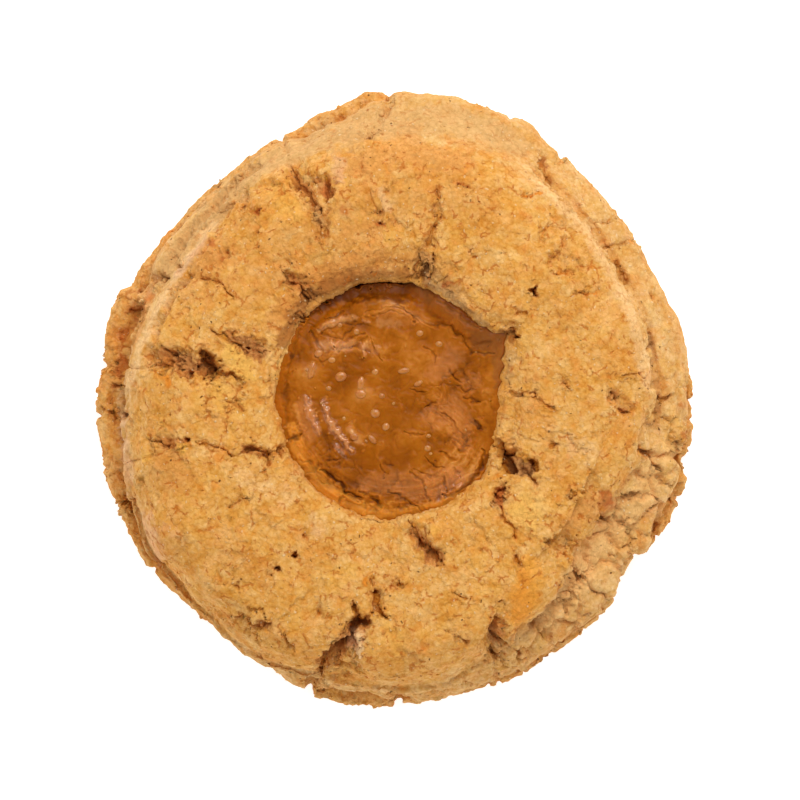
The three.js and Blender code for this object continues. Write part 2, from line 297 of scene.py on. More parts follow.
dough = {
    "columns": 1360, # points round the cookie
    "triangles": 195000, # what is kept of the relief
    # outer edge, its notches as (degrees, half width in degrees, depth), and how far the browned foot runs
    # out past the crumbly side
    "outline": ring([(0, 44.4), (12, 43.9), (25, 43.1), (38, 43), (48, 43.6), (56, 44.4), (66, 45.9),
                     (78, 46.2), (95, 46.2), (103, 44.7), (113, 43.1), (121, 42.7), (132, 42.2), (141, 42.2),
                     (150, 42.8), (156, 43.1), (158.5, 44.5), (165, 44.6), (170, 44.1), (180, 44.9),
                     (192, 44.8), (201, 44.5), (210, 44.8), (222, 43.9), (231, 43.4), (240, 44.3),
                     (250, 45.3), (257, 46.1), (262, 46.5), (269, 46), (273, 45.4), (284, 45.2), (296, 45.4),
                     (306, 44.7), (316, 44.2), (324, 42.4), (327, 42.5), (329, 43.9), (337, 44.7),
                     (346, 44.8), (354, 45)]),
    "notches": [(56, 1, 0.8), (68, 0.8, 0.4), (91.3, 1.1, 0.8), (113.5, 0.9, 0.8), (173, 0.8, 0.9),
                (183, 0.8, 0.8), (193, 0.6, 0.5), (215, 0.6, 0.4), (253.4, 0.9, 1.3), (270.6, 0.7, 0.9),
                (290, 0.6, 0.6), (348.5, 1.2, 1)],
    "footShows": ring([(0, 1), (12, 0), (22, -0.8), (45, -0.8), (58, -0.3), (75, -0.8), (90, -0.2),
                       (93, 1.4), (100, 2.7), (108, 2.2), (113, 1), (125, 0.7), (146, 0.8), (156, 2),
                       (162, 4.2), (172, 4.2), (182, 4.4), (190, 3.8), (203, 2.2), (215, 1.6), (228, 0.9),
                       (236, -0.3), (247, -0.8), (253, 0.6), (258, 2), (264, 2.6), (270, 1.6), (276, -0.2),
                       (282, 0.3), (292, 0.9), (306, 0.6), (318, 0.1), (328, 0.5), (336, 1.3), (347, 1.6),
                       (355, 1.4)]),
    "footTop": 2.8, # height of the foot where the side hangs over it
    "footRise": 1.6, # more than that where it runs far out
    # the crease under the crown: where it runs, and how deep it folds in, from 0 to 1
    "grooveAt": ring([(0, 39.4), (20, 39.2), (30, 38.8), (40, 39.3), (57, 40.3), (75, 40.6), (100, 40.2),
                      (122, 39), (135, 38.2), (145, 37.9), (162, 38.6), (176, 39.4), (186, 39.6),
                      (192, 40.8), (200, 42), (208, 42.7), (228, 42.9), (240, 43.4), (250, 43.4),
                      (257, 42.6), (266, 42.8), (277, 42.9), (290, 41.5), (300, 39.8), (308, 39.4),
                      (316, 37.9), (323, 36.6), (330, 36.2), (340, 37.3), (350, 38.5)]),
    "grooveDepth": ring([(0, 0.4), (20, 0.45), (36, 0.5), (55, 0.4), (64, 0.1), (90, 0), (118, 0.1),
                         (130, 0.3), (142, 0.3), (152, 0.1), (186, 0.1), (196, 0.4), (205, 0.7), (222, 0.8),
                         (238, 0.4), (248, 0.6), (256, 0.4), (272, 0.5), (290, 0.3), (302, 0.25), (314, 0.2),
                         (325, 0.25), (334, 0.3), (344, 0.3)]),
    # where the side below the crown is broken into blocks, from 0 to 1
    "blocky": ring([(0, 0.5), (12, 0.2), (60, 0.1), (120, 0.1), (150, 0), (200, 0.1), (240, 0.4), (270, 0.4),
                    (300, 0.8), (325, 1), (345, 1), (355, 0.8)]),
    # heights of the ledge and of the ring round the well, and the radius where the ring is highest
    "ledgeTop": ring([(20, 12), (60, 11.4), (100, 10), (150, 10.6), (180, 9.6), (205, 7.6), (240, 8.4),
                      (265, 8), (290, 9.2), (320, 11.2), (345, 11.4)]),
    "crest": ring([(10, 22.3), (52, 22.7), (95, 22), (132, 21.4), (165, 21.6), (190, 22.2), (215, 22.7),
                   (240, 22.6), (262, 21.9), (290, 22.2), (318, 21.5), (335, 21.4)]),
    "crestAt": 27,
    # where the surface outside the crown's edge is smooth, from 0 to 1
    "calm": ring([(0, 0.85), (60, 0.85), (120, 0.9), (135, 0.6), (150, 0.8), (176, 0.8), (186, 0.5),
                  (200, 0.6), (215, 0.8), (228, 0.5), (250, 0.3), (285, 0.4), (300, 0.7), (330, 0.7),
                  (345, 0.6), (355, 0.8)]),
    # the wall of the well
    "wallTop": ring([(0, 17.6), (14, 18), (24, 19.4), (31, 20.9), (36, 19.6), (43, 18.7), (52, 18.5),
                     (64, 18.8), (74, 19.6), (88, 20.4), (106, 20.6), (120, 20.6), (132, 20), (140, 19.4),
                     (160, 18.9), (182, 18.6), (200, 18), (225, 18.3), (250, 18.3), (280, 18.5), (305, 18.6),
                     (320, 18.6), (332, 19.6), (345, 17.8)]),
    "wallFoot": ring([(0, 15.2), (10, 15.6), (20, 16.6), (26, 18), (31, 19.4), (35, 17.6), (42, 16.3),
                      (52, 16.1), (64, 16.3), (74, 17.2), (86, 18.1), (104, 18.2), (118, 18.2), (134, 18.6),
                      (142, 18.2), (156, 17.8), (180, 17.9), (195, 17.6), (207, 17.2), (216, 17.2),
                      (226, 17.7), (236, 17.9), (248, 17.6), (262, 17.3), (282, 17.3), (304, 16.8),
                      (319, 17.1), (327, 16.8), (335, 15.7), (346, 15.1)]),
    "raggedWall": 0.42, # how far the wall's foot wanders in and out
    "spreadLevel": 19.2, # height of the spread's skin
    "wellFloor": 12.4,
    # rows of points from one bend of the profile to the next
    "rows": [6, 8, 4, 4, 4, 5, 7, 6, 5, 6, 8, 8, 10, 6, 6, 8, 10, 11, 14, 20, 17, 19, 10, 8, 9, 9, 4, 2, 2,
             2],
    # from this radius out the dough is pale
    "paleFrom": ring([(0, 37.4), (10, 36.4), (24, 36.6), (40, 37.2), (60, 37.8), (75, 39), (95, 39.4),
                      (112, 38.9), (124, 38.6), (135, 37.9), (150, 37.2), (165, 37.8), (178, 38.9),
                      (190, 40), (200, 41.2), (215, 42.4), (250, 43), (276, 42.6), (290, 40.6), (302, 38.3),
                      (316, 36), (330, 35.2), (345, 36.6)]),
    # cracks and pits: depth, and a route of (degrees, radius, width)
    "cracks": [
        # the big fissure on the left and its branches
        (2, [(165.8, 29.9, 1), (167.8, 28.9, 2.4), (169.6, 28.2, 2.6), (171.2, 27.5, 1.1)]),
        (1.75, [(171, 30.6, 0.7), (169.9, 29.7, 0.8)]),
        (2.05, [(171.6, 32, 0.7), (172.3, 31.1, 1.5), (173.4, 30.6, 0.8)]),
        (1.25, [(171, 27.2, 0.9), (171.5, 25.8, 0.5), (171.3, 24.8, 0.3), (172.4, 23.4, 0.8)]),
        (0.9, [(167.3, 36, 0.4), (167.6, 34.6, 0.7), (168.6, 33.8, 0.9), (169.2, 33, 0.4)]),
        (0.8, [(172.2, 36.2, 0.4), (172, 34.8, 0.4), (171.8, 33.3, 0.8)]),
        (0.65, [(158.6, 29.4, 0.3), (159.9, 27.6, 0.6), (160, 26.2, 0.7), (160.4, 24.9, 0.4),
         (161.7, 23.4, 0.9)]),
        (0.5, [(147.8, 34.9, 0.3), (146.7, 32.8, 0.5), (146.3, 31.1, 0.4), (147.4, 29.5, 0.6),
         (147.8, 28.6, 0.2)]),
        # upper left
        (0.65, [(131, 25.6, 0.3), (132.2, 23.6, 1), (129.6, 22, 0.4), (129.2, 21.2, 0.4),
         (131.2, 19.6, 0.7)]),
        (0.8, [(114.2, 38.4, 0.6), (114.6, 36.4, 1), (113.4, 34.2, 0.8), (113, 32.8, 1.2)]),
        (0.7, [(107.6, 36, 0.6), (107.4, 34, 1.1), (108.8, 32.6, 0.9)]),
        (1.2, [(111.6, 31.6, 0.6), (111.3, 30.5, 0.8)]),
        (0.5, [(133.9, 39.6, 0.4), (131.8, 38.2, 0.9), (129.6, 38, 0.5)]),
        # top
        (0.5, [(79, 32.6, 0.4), (78.2, 30.6, 0.8), (76.8, 28.4, 0.6), (78.2, 26, 0.3), (78, 24.2, 1.2)]),
        (1.15, [(77.2, 19.8, 0.5), (79.6, 18.2, 1.2)]), (0.75, [(95.6, 40.2, 0.9)]),
        # lower left
        (0.8, [(188.7, 37.8, 0.3), (189.8, 36.4, 0.7), (191.2, 35.3, 0.9), (190.6, 34.6, 0.2)]),
        (0.75, [(190.8, 31.5, 0.9)]),
        (0.6, [(191.3, 30.8, 0.2), (193.6, 28.6, 0.5), (194.6, 27, 0.3), (199.2, 26, 0.3),
         (199.8, 24.8, 0.4)]),
        (1.25, [(199.6, 24.6, 0.3), (198.9, 23.4, 1.1), (198.4, 22.8, 0.9), (200, 22, 0.3),
         (203, 20.4, 0.5)]),
        (0.95, [(204, 20.6, 0.3), (206, 21.2, 0.7)]), (1.35, [(203.6, 18.6, 1.4), (202, 18, 0.9)]),
        (0.45, [(180.9, 25.3, 0.4), (181.3, 24.2, 0.7), (184, 22.9, 0.3)]),
        (0.3, [(212.6, 29.7, 0.4), (213.1, 28.2, 0.2), (211.8, 27.5, 0.4), (213.6, 26.3, 0.2)]),
        (0.75, [(232.4, 41.2, 0.2), (236, 40.4, 0.5), (238.9, 39.9, 0.6), (240.2, 38.8, 0.6),
         (238.9, 37.8, 0.3)]),
        (0.65, [(240.4, 41.3, 0.6), (239.8, 40.6, 0.4)]),
        (0.65, [(243.6, 38.8, 0.3), (245.4, 39.4, 0.7), (247.6, 40.2, 0.6)]),
        # the bottom fissure
        (1.35, [(254.2, 43.6, 1), (255, 41.2, 0.8), (255.4, 38.8, 0.9)]),
        (2.8, [(253.6, 40.6, 0.9), (255.2, 39.7, 1.9), (256.8, 38.8, 2.3), (258.4, 37.8, 1.8),
         (259.4, 36.6, 1.2), (259.6, 35.2, 1.2), (260.4, 33.8, 1.5)]),
        (2.05, [(260.2, 33.6, 1.5), (262.4, 33.9, 1.3)]),
        (1.45, [(260.2, 33.2, 1), (258.9, 31.8, 0.7), (258.2, 31, 0.2)]),
        (1.25, [(263.9, 28.4, 0.3), (264.6, 29.6, 0.8), (264.6, 30.9, 1.2), (265.9, 32.2, 0.4),
         (267.6, 32.8, 0.5)]),
        (0.5, [(262, 27, 0.5), (263, 27.8, 0.3)]),
        # bottom
        (0.95, [(286.8, 25.2, 0.3), (285, 24.8, 0.9), (284.2, 24.2, 0.4)]),
        (1.55, [(284.4, 24.3, 0.4), (283.1, 23.4, 1.5), (280.7, 22.1, 1.5), (278.9, 21.2, 0.7),
         (279.2, 20.4, 0.3)]),
        (0.65, [(278.9, 20.2, 0.5), (278.6, 18.9, 0.5), (276, 17.8, 0.3)]),
        (0.75, [(270.9, 27.3, 0.8), (271.9, 27.3, 0.6)]),
        (0.55, [(286.8, 30.1, 0.3), (288, 30.8, 0.5), (289.4, 31.5, 0.5)]),
        (0.45, [(282, 35.3, 0.2), (284.4, 36, 0.3), (286.4, 37.6, 0.3)]),
        (0.7, [(295.3, 35.4, 0.5), (295.1, 36.9, 0.7), (293.6, 38.2, 1)]),
        (1.35, [(293.2, 38.6, 1.6), (293.7, 39.9, 1.2), (294.4, 40.4, 0.3)]),
        (0.95, [(291.3, 40.8, 1.2), (291, 41.9, 0.9)]), (0.75, [(296, 41.6, 0.5), (295.4, 43, 0.8)]),
        (0.6, [(302.9, 41.4, 0.7), (301.4, 42.4, 0.5)]),
        (0.85, [(308.6, 41.4, 0.5), (309.4, 40.4, 0.7), (312.2, 39.7, 0.9)]),
        (1.05, [(317.8, 36.3, 0.3), (316.9, 37.4, 0.6), (316, 38.5, 1.1)]), (0.75, [(297.6, 33.9, 0.5)]),
        (0.8, [(307.8, 30.5, 0.7), (307.6, 29.6, 0.6)]), (0.95, [(317.6, 31, 1)]),
        # right
        (1.95, [(329, 19.4, 1.2), (331.6, 18.6, 1.7)]), (1.75, [(333.6, 17.4, 2.2), (336.2, 16.4, 2)]),
        (1.65, [(335.4, 21.9, 0.8), (335, 22.8, 1.5), (334.2, 23.4, 0.8)]),
        (0.75, [(332.4, 20.6, 0.5), (331, 21.9, 0.5), (330.2, 23.9, 0.5)]),
        (0.85, [(343.7, 24.4, 0.9), (344.8, 25, 0.3)]),
        (0.65, [(323.4, 20.3, 0.3), (319.4, 20.2, 0.7), (316.2, 20.4, 0.5), (316.4, 21.4, 0.9),
         (318, 21.9, 0.4)]),
        (0.6, [(314.3, 22.3, 0.3), (312.4, 23.7, 0.7), (311.9, 24.8, 0.4), (312.6, 25.9, 0.3),
         (311.2, 27.2, 0.3)]),
        (0.55, [(3, 20.7, 0.6), (359.4, 21.2, 0.6), (358.2, 22.2, 0.5), (357.3, 23.9, 0.2)]),
        (0.5, [(4.4, 17.3, 0.8), (1.4, 18.8, 0.3)]), (0.45, [(6.3, 25.2, 0.4), (2.7, 26.2, 0.2)]),
        (0.6, [(332, 30.2, 0.6)]), (0.65, [(1.8, 32.4, 0.4), (1.2, 33, 0.7), (359.2, 33.4, 0.2)]),
        (0.65, [(357.8, 33.7, 0.3), (356.6, 34.3, 0.5), (356.8, 35.1, 0.4)]),
        (0.5, [(6.9, 34, 0.3), (6.4, 35.3, 0.4), (5.4, 37.2, 0.4)]),
        (0.95, [(348.4, 37.6, 0.9), (347.4, 39.2, 0.8), (346, 40, 0.9), (344.8, 41, 0.4)]),
        (0.75, [(337.4, 36.8, 0.4), (337.6, 37.8, 0.9), (339.2, 38.9, 0.4)]), (0.7, [(332.8, 38.9, 1)]),
        (0.85, [(330, 35.7, 0.8), (330.6, 36.6, 1)]), (0.6, [(342.9, 41.4, 0.8), (342.4, 42.8, 0.3)]),
        (0.65, [(351.2, 42.1, 0.7), (349.9, 43.2, 0.4)]),
        (0.85, [(0.6, 39.5, 0.7), (359.4, 40.2, 1), (1.2, 41, 0.5)]),
        # upper right
        (2.6, [(39, 26.8, 0.5), (38.4, 26.2, 0.9), (37.6, 25.7, 0.6)]),
        (0.6, [(35.4, 22.4, 0.5), (33.7, 23.4, 0.6)]), (0.85, [(28.6, 20.2, 0.6), (30.6, 20, 1)]),
        (0.55, [(64, 25.2, 0.6)]), (0.65, [(73.9, 33.7, 0.7)]), (0.55, [(71.7, 33.7, 0.6)]),
        (0.6, [(95.4, 26.5, 0.5)]),
        (0.6, [(60, 43.2, 0.6), (57.8, 41.8, 1), (56, 40.7, 0.8), (54.2, 40.2, 0.5)]),
        (0.6, [(55.4, 44.4, 0.7), (56, 43.2, 0.5)]),
        (0.5, [(42.6, 39.9, 0.2), (41, 40.8, 0.5), (39.4, 42, 0.6)]),
        (0.5, [(36, 39.2, 0.4), (35.6, 40.3, 0.6), (34.4, 41.4, 0.4), (34.6, 42.4, 0.5), (33.7, 43.2, 0.4)]),
        (0.6, [(32.4, 39.1, 0.5), (29.4, 38.9, 0.7), (28, 38.8, 0.8), (26.6, 38.8, 0.3)]),
        (0.9, [(22.8, 41.2, 0.9), (21.6, 41.4, 0.7)]), (0.5, [(17.7, 38.7, 0.7)]),
        (0.5, [(58, 40, 0.5), (52.4, 39.5, 0.3), (47, 39, 0.4), (42, 39, 0.3), (37, 38.7, 0.5),
         (32, 38.6, 0.3)]),
        # left edge
        (1.05, [(160.8, 42.2, 0.8), (160.2, 40.4, 1.4)]), (0.85, [(152.6, 40.3, 0.8), (151.6, 39.2, 0.5)]),
        (0.75, [(148.6, 38.4, 1)]), (0.95, [(174, 43.2, 0.6), (176, 41.9, 1), (175.4, 41, 0.6)]),
        (1.25, [(182, 43.4, 0.4), (182.8, 42, 0.8), (183.6, 41.1, 1)]),
        (0.5, [(201.4, 44, 0.8), (201.4, 42.6, 1)]), (0.7, [(194.4, 43.3, 0.9), (196.6, 42.4, 0.5)]),
        # fine breaks with orange edges
        (0.2, [(54.2, 38.2, 0.2), (56.4, 37.2, 0.4), (58.6, 36.3, 0.2)]),
        (0.2, [(38.7, 30.6, 0.2), (36.8, 32.1, 0.3)]),
        (0.18, [(31, 31.5, 0.2), (29.6, 32.9, 0.4), (28, 34.5, 0.2)]),
        (0.2, [(49.4, 34.8, 0.2), (47.8, 32.6, 0.3)]),
        (0.18, [(43.6, 36.2, 0.2), (42.9, 33.4, 0.3), (41.8, 31, 0.2)]),
        (0.2, [(96.6, 31.6, 0.2), (97.2, 29.6, 0.3), (95, 28.2, 0.3)]),
        (0.18, [(88.6, 35.6, 0.2), (90.8, 33.2, 0.3), (93.2, 31.8, 0.2)]),
        (0.18, [(101.6, 33, 0.2), (99, 34, 0.3), (97.4, 35.8, 0.2)]),
        # small pits
        (2, [(236.6, 28, 0.4), (237, 27.6, 1)]), (1.6, [(235.2, 30.7, 0.75)]), (1, [(234.8, 32.3, 0.5)]),
        (0.65, [(236.1, 24.5, 0.4)]), (0.65, [(250.5, 34.1, 0.6)]), (1.15, [(139, 18.9, 1.2)]),
        (0.6, [(139.1, 33.9, 0.5)]), (0.55, [(129.3, 32.5, 0.5)]), (0.55, [(126.4, 35.2, 1)]),
    ],
    # shallow broken furrows with a rough floor: depth, and a route
    "furrows": [
        (0.4, [(169.6, 36.4, 3), (169.8, 33, 4), (169.4, 29.6, 4), (170, 27.4, 2.4)]),
        (0.4, [(158, 26.6, 1.8), (159, 24, 2.8), (160.2, 20.6, 3)]),
        (0.6, [(113.4, 38, 3), (111.8, 34.4, 4.4), (111.6, 31, 3.2), (114, 27, 2)]),
        (0.6, [(258, 40.6, 4.4), (260.2, 36.4, 3.6), (260.6, 33.4, 2.4)]),
        (0.6, [(331.4, 19, 3.4), (332.2, 22.4, 3)]), (0.5, [(127.2, 39, 3), (127.6, 36.6, 2)]),
        (0.9, [(292.6, 39.6, 4.2), (294.8, 36.4, 2.2)]), (0.8, [(78.6, 23.8, 2.2), (78.6, 20.2, 3)]),
        (0.7, [(318.6, 32.4, 3), (320, 34.6, 3.4)]), (0.6, [(1, 33, 2.4), (357, 34.6, 2.4)]),
        (0.8, [(284, 24.4, 2), (280, 21.6, 2.6), (277.4, 18.8, 2)]),
        (0.6, [(189.4, 36.8, 2.4), (191, 34.6, 2.2)]), (0.7, [(238, 40.4, 3), (240, 38.8, 2.4)]),
        (0.6, [(130.4, 22.8, 2.6), (130.6, 20, 3.6)]),
        # the crease outside the smooth strip on the right, and the two creases along the left margin
        (0.4, [(60, 40.8, 1.2), (54, 40.2, 1.3), (44, 39.4, 0.9), (34, 39.2, 1.1), (27, 38.9, 1.1),
         (21, 39.2, 0.6)]),
        (0.6, [(16, 39.2, 0.8), (10, 39.3, 1.2), (1, 39.7, 1.4), (353, 39.2, 0.9)]),
        (0.9, [(148, 36.4, 0.6), (156, 36.9, 1), (164, 37.2, 1.1), (172, 37.8, 0.8)]),
        (0.8, [(152, 40.2, 1.2), (160, 40.9, 2), (166, 40.9, 1.4), (172, 41.6, 1.4), (178, 42, 1.2),
         (184, 42.2, 0.8)]),
        (0.8, [(120, 40.9, 0.8), (130, 40.4, 1.2), (140, 40, 1.2), (148, 39.6, 0.9)]),
        (0.7, [(95.6, 39.6, 0.9), (92.8, 42, 1.3), (91.2, 44.6, 1.2)]),
        (0.9, [(302, 39.6, 1.6), (308, 39.4, 1.8), (314, 38.2, 1.4)]),
    ],
    # shallow places with sharp edges where the crust broke away: depth, and a route
    "breaks": [
        (0.9, [(171.4, 36.2, 1), (171, 34.4, 2), (171, 32.6, 2.2), (170.6, 30.6, 2), (169.8, 28.6, 3)]),
        (0.6, [(168.6, 36.4, 1.8), (168.4, 34.6, 2), (168.6, 33, 1.6)]),
        (0.6, [(158.8, 26.8, 1.2), (159.6, 24.6, 2.2), (160.4, 22, 2.4)]),
        (1, [(257.4, 39.4, 2.4), (258.8, 37.2, 3.2), (260.4, 35, 3), (262.4, 33.9, 1.8)]),
        (0.5, [(114, 37.2, 1.6), (113, 34.4, 1.8), (112.6, 31.8, 1.6)]),
        (0.5, [(109.4, 34.8, 2), (107.8, 33.2, 1.8)]), (0.8, [(332, 20, 2), (332.2, 22.4, 1.6)]),
        (0.5, [(283, 23.8, 2.4), (280.2, 21.8, 2.2), (278, 19.4, 1.4)]),
        (0.5, [(318.4, 21, 2), (315.2, 21.2, 1.6)]), (0.5, [(294.6, 37.6, 1.8), (293, 39.6, 2.2)]),
        (0.5, [(130.4, 24, 1.8), (129.6, 21.6, 2)]), (0.4, [(190.6, 35.6, 1.6), (191.4, 31.8, 1.4)]),
        (0.4, [(198.8, 23.6, 1.8), (201.6, 21.6, 1.4)]), (0.5, [(237.6, 40, 1.4), (239.8, 38.8, 1.4)]),
    ],
    # smooth raised seams and lobes: height, and a route
    "seams": [
        (0.5, [(149, 37.6, 1), (154, 38.1, 1.8), (161.4, 38.6, 2), (170.9, 39.3, 2.2), (176.4, 39.9, 1.6)]),
        (0.4, [(183.6, 41, 1), (189.3, 40.6, 1.8), (193.9, 40.8, 2), (199.4, 42, 1.4)]),
        (0.4, [(138, 37, 0.8), (146, 37.4, 1.1), (153, 37.4, 0.8)]),
        (0.4, [(58, 38.6, 1.2), (46, 38, 1.8), (30, 37.5, 1.8), (12, 37.6, 2), (356, 38.2, 1.4)]),
        (0.5, [(103, 42, 2.6), (99, 41.8, 3.4)]), (0.5, [(92, 41.4, 3.2), (86, 42, 4), (80, 41.6, 3)]),
        (0.4, [(214, 40.6, 2.4), (206, 40.8, 2.4)]), (0.5, [(301, 37.6, 2.6), (306, 37, 3), (311, 36, 2.4)]),
        (1.1, [(261.8, 37.6, 1.2), (261.4, 35.8, 1.8)]), # the lump in the bottom fissure
    ],
    # broad swellings of the crust: degrees, radius, half width, height
    "swellings": [
        (90, 33, 7, 0.5), (266, 39, 5, 0.5), (45, 30, 9, 0.4), (215, 30, 9, 0.4), (305, 34.6, 4.4, 0.8),
        (150, 27, 5, 0.4), (340, 33, 5, 0.4), (181, 30, 6, 0.5), (313, 25, 4, 0.5), (122, 31, 5, 0.3),
        (20, 30, 6, 0.2), (245, 30, 7, 0.3),
    ],
    # soft waves: size, seed, and how high they are on the crown and on the side
    "waves": [(9, 11, 0.35, 0.4), (3, 12, 0.16, 0.16)],
    # plates of crust: size, seed, how far they stand apart, how far they tip, how deep the gaps are
    "plates": [(6.5, 21, 0.17, 0.18, 0.10), (2.6, 22, 0.12, 0.26, 0.08), (1.15, 23, 0.06, 0.28, 0.012)],
    # sizes of the blocks on the side, of the foot's knobs, and of the lumps where the crust broke away
    "blockSize": 4.4,
    "knobSize": 3.6,
    "lumpSize": 1.7,
    "highest": 0.3, # relief above this is pressed down
    "pressed": 0.35, # how far it may still stand above that
    # what baking left in the crust, as sRGB, and the greys and browns that paint shade in hollows, grooves
    # and on the well's wall
    "colours": {
        "umber": "#8A4E18", "shade": "#C67C40", "wallShade": "#9A5C28", "sideShade": "#CF9F62", "butter": "#EBB772",
        "rust": "#B2561A", "orange": "#DB8424", "toast": "#D28E46", "yellow": "#E9AE4A", "cream": "#EDC188",
        "pink": "#DBA87E", "shadeGrey": "#AE8454", "amber": "#C87A30", "tangerine": "#E89A32", "gold": "#EDBA68",
    },
    # stains: colour, share, and a route
    "stains": [
        # broad patches first, streaks on top
        ("toast", 0.7, [(99, 35.5, 5), (88, 37.2, 5), (74, 37.2, 4)]),
        ("toast", 0.5, [(150, 34, 7), (140, 35, 6)]),
        # painted shade: the crown's north side is darkened, against the light that falls from the north
        ("toast", 0.45, [(66, 33, 6), (84, 31, 9), (104, 29.4, 9), (124, 29, 9), (142, 28, 8)]),
        ("toast", 0.35, [(86, 40.4, 2.4), (100, 39.6, 2.6)]),
        ("tangerine", 0.65, [(299.4, 37.6, 3.6), (303, 35, 5), (308.6, 32, 4)]),
        ("orange", 0.45, [(300.4, 36.8, 2.2), (303.4, 34, 2.6), (306, 32.4, 1.6)]),
        ("gold", 0.6, [(321, 25.4, 7)]), ("gold", 0.5, [(163.5, 25.6, 3.6), (169.5, 22.8, 3.4)]),
        ("rust", 0.85, [(333.8, 35.4, 2.4), (335.2, 34.4, 2.2)]),
        ("toast", 0.6, [(331, 33.6, 5), (324, 31.6, 3)]),
        ("amber", 0.3, [(176, 35.6, 4), (190, 35.2, 5), (204, 34.8, 4)]),
        ("amber", 0.28, [(122, 35.4, 4), (134, 35.2, 4), (146, 35, 3)]),
        ("toast", 0.4, [(350, 20.4, 3), (2, 20.8, 4), (14, 21.4, 3)]), ("toast", 0.35, [(12, 32.5, 7)]),
        ("toast", 0.4, [(40, 34.5, 5), (30, 33.5, 5), (20, 34.2, 4)]), ("toast", 0.4, [(197, 35, 8)]),
        ("toast", 0.35, [(222, 33, 6), (232, 33, 5)]), ("toast", 0.4, [(101, 25, 6), (112, 22.4, 4)]),
        ("toast", 0.35, [(271, 35, 6), (276, 39, 4)]),
        ("yellow", 0.55, [(163.5, 25.6, 3.2), (166.5, 24, 4), (169.5, 22.6, 3)]),
        ("yellow", 0.45, [(174.4, 28.4, 3.2), (177, 26.6, 4), (183, 24.4, 4)]),
        ("yellow", 0.35, [(318.6, 27, 3.2), (322, 24.4, 2.6)]),
        ("yellow", 0.4, [(268.4, 34.4, 3), (271, 37, 3)]), ("yellow", 0.5, [(286.5, 20.4, 2.2)]),
        ("yellow", 0.4, [(120, 36.4, 4), (119, 32, 4)]), ("yellow", 0.6, [(192.6, 38.2, 1.8)]),
        ("orange", 0.6, [(206.4, 29.9, 1.4), (204.6, 30.4, 0.8)]),
        ("yellow", 0.4, [(250, 28, 5), (256, 26.5, 3)]), ("yellow", 0.4, [(318, 24, 3)]),
        ("yellow", 0.35, [(350, 41.2, 2), (358, 41.4, 2)]),
        ("yellow", 0.3, [(332, 41, 2.4), (322, 39.6, 2)]), ("cream", 0.4, [(206, 25.6, 3), (222, 21.5, 4)]),
        ("pink", 0.3, [(209, 39.4, 3), (213.6, 38.4, 2.6)]), ("cream", 0.45, [(238, 22, 4)]),
        ("cream", 0.45, [(345, 29.6, 4), (347, 27, 3)]), ("pink", 0.5, [(103.4, 37, 2), (104.4, 34.6, 2.2)]),
        ("cream", 0.5, [(94, 31.6, 1), (92.2, 28.6, 1.2)]),
        ("pink", 0.6, [(258.6, 38, 2.4), (260.4, 36, 2.4)]),
        ("cream", 0.9, [(261.8, 38.4, 1.2), (261.6, 35.6, 1.7)]),
        ("pink", 0.5, [(213, 42, 2.6), (205, 41, 2.4)]),
        # painted shade: grey stains in the hollows of the fissures on the left, the upper left and the right
        ("shadeGrey", 0.3, [(168.2, 33.2, 2.4), (170.4, 31.6, 2)]),
        ("shadeGrey", 0.25, [(158.4, 25, 2), (159.6, 21.4, 3.2)]),
        ("shadeGrey", 0.5, [(331.6, 20.4, 2), (332, 22.4, 1.8)]), ("shadeGrey", 0.4, [(112.2, 32, 1), (112, 29.4, 2)]),
        ("amber", 0.25, [(126.4, 39.6, 2), (127.4, 36.8, 1.6)]),
        ("shadeGrey", 0.4, [(1.4, 32.8, 2), (358, 34.6, 1.8)]),
        # painted shade on the well's north wall and on the ring round it
        ("toast", 0.5, [(70, 21.4, 3), (84, 21.6, 4), (104, 21.8, 4), (126, 22.2, 4), (146, 21.6, 4)]),
        ("wallShade", 0.75, [(76, 18.6, 1.6), (84, 18.8, 2.2), (94, 19, 2.6), (106, 19.2, 2.8), (118, 19.4, 3),
         (130, 19.5, 3.2), (142, 19.3, 2.8), (152, 19, 1.8)]),
        ("amber", 0.3, [(84, 21.2, 1.8), (100, 21.4, 2.4), (116, 21.8, 2.6), (130, 22.2, 3),
         (144, 21.8, 2.4)]),
        # painted shade on the side at the upper left, and in the left fissure's hollows
        ("sideShade", 0.85, [(120, 40.4, 2.6), (130, 39.8, 3.8), (142, 39.6, 4), (152, 39.8, 3.4)]),
        ("shade", 0.25, [(168, 35.6, 2.2), (169.4, 33, 3.2), (169.6, 30.6, 3), (170.4, 28.4, 3.4)]),
        ("shade", 0.25, [(158.6, 26.6, 1.6), (159.4, 24.4, 2.6), (160.4, 21.4, 3)]),
        ("amber", 0.45, [(172, 18.4, 0.9), (186, 18.2, 1), (200, 17.9, 1.1), (214, 17.5, 1),
         (232, 18.2, 0.9), (250, 17.9, 1), (270, 17.6, 0.8)]),
        # painted shade: the grey stains darken the well's north-east wall and the grooves under the crown,
        # and the umber ones the dark corner, notch and hole by the well
        ("shadeGrey", 0.45, [(79, 22, 2), (74, 19.2, 2.6), (62, 18.6, 3)]),
        ("shadeGrey", 0.5, [(313, 38.6, 1.6), (303.6, 39.4, 1.8), (296, 40, 2)]),
        ("shadeGrey", 0.35, [(292, 39.4, 2.6)]), ("shadeGrey", 0.35, [(12.4, 39.2, 1.4), (18, 39, 1)]),
        ("shadeGrey", 0.55, [(10, 17, 1.4), (22, 18.4, 1.8)]),
        ("umber", 0.8, [(28, 19.2, 1.4), (31, 20.3, 1.2), (34, 18.8, 1)]),
        ("shadeGrey", 0.6, [(40, 17.8, 1.2), (52, 17.2, 1.4), (64, 17.6, 1.6), (76, 18.6, 1.6)]),
        ("rust", 0.7, [(67, 18.9, 0.9), (64, 19.4, 0.6)]), ("umber", 0.7, [(79, 18.6, 1.2)]),
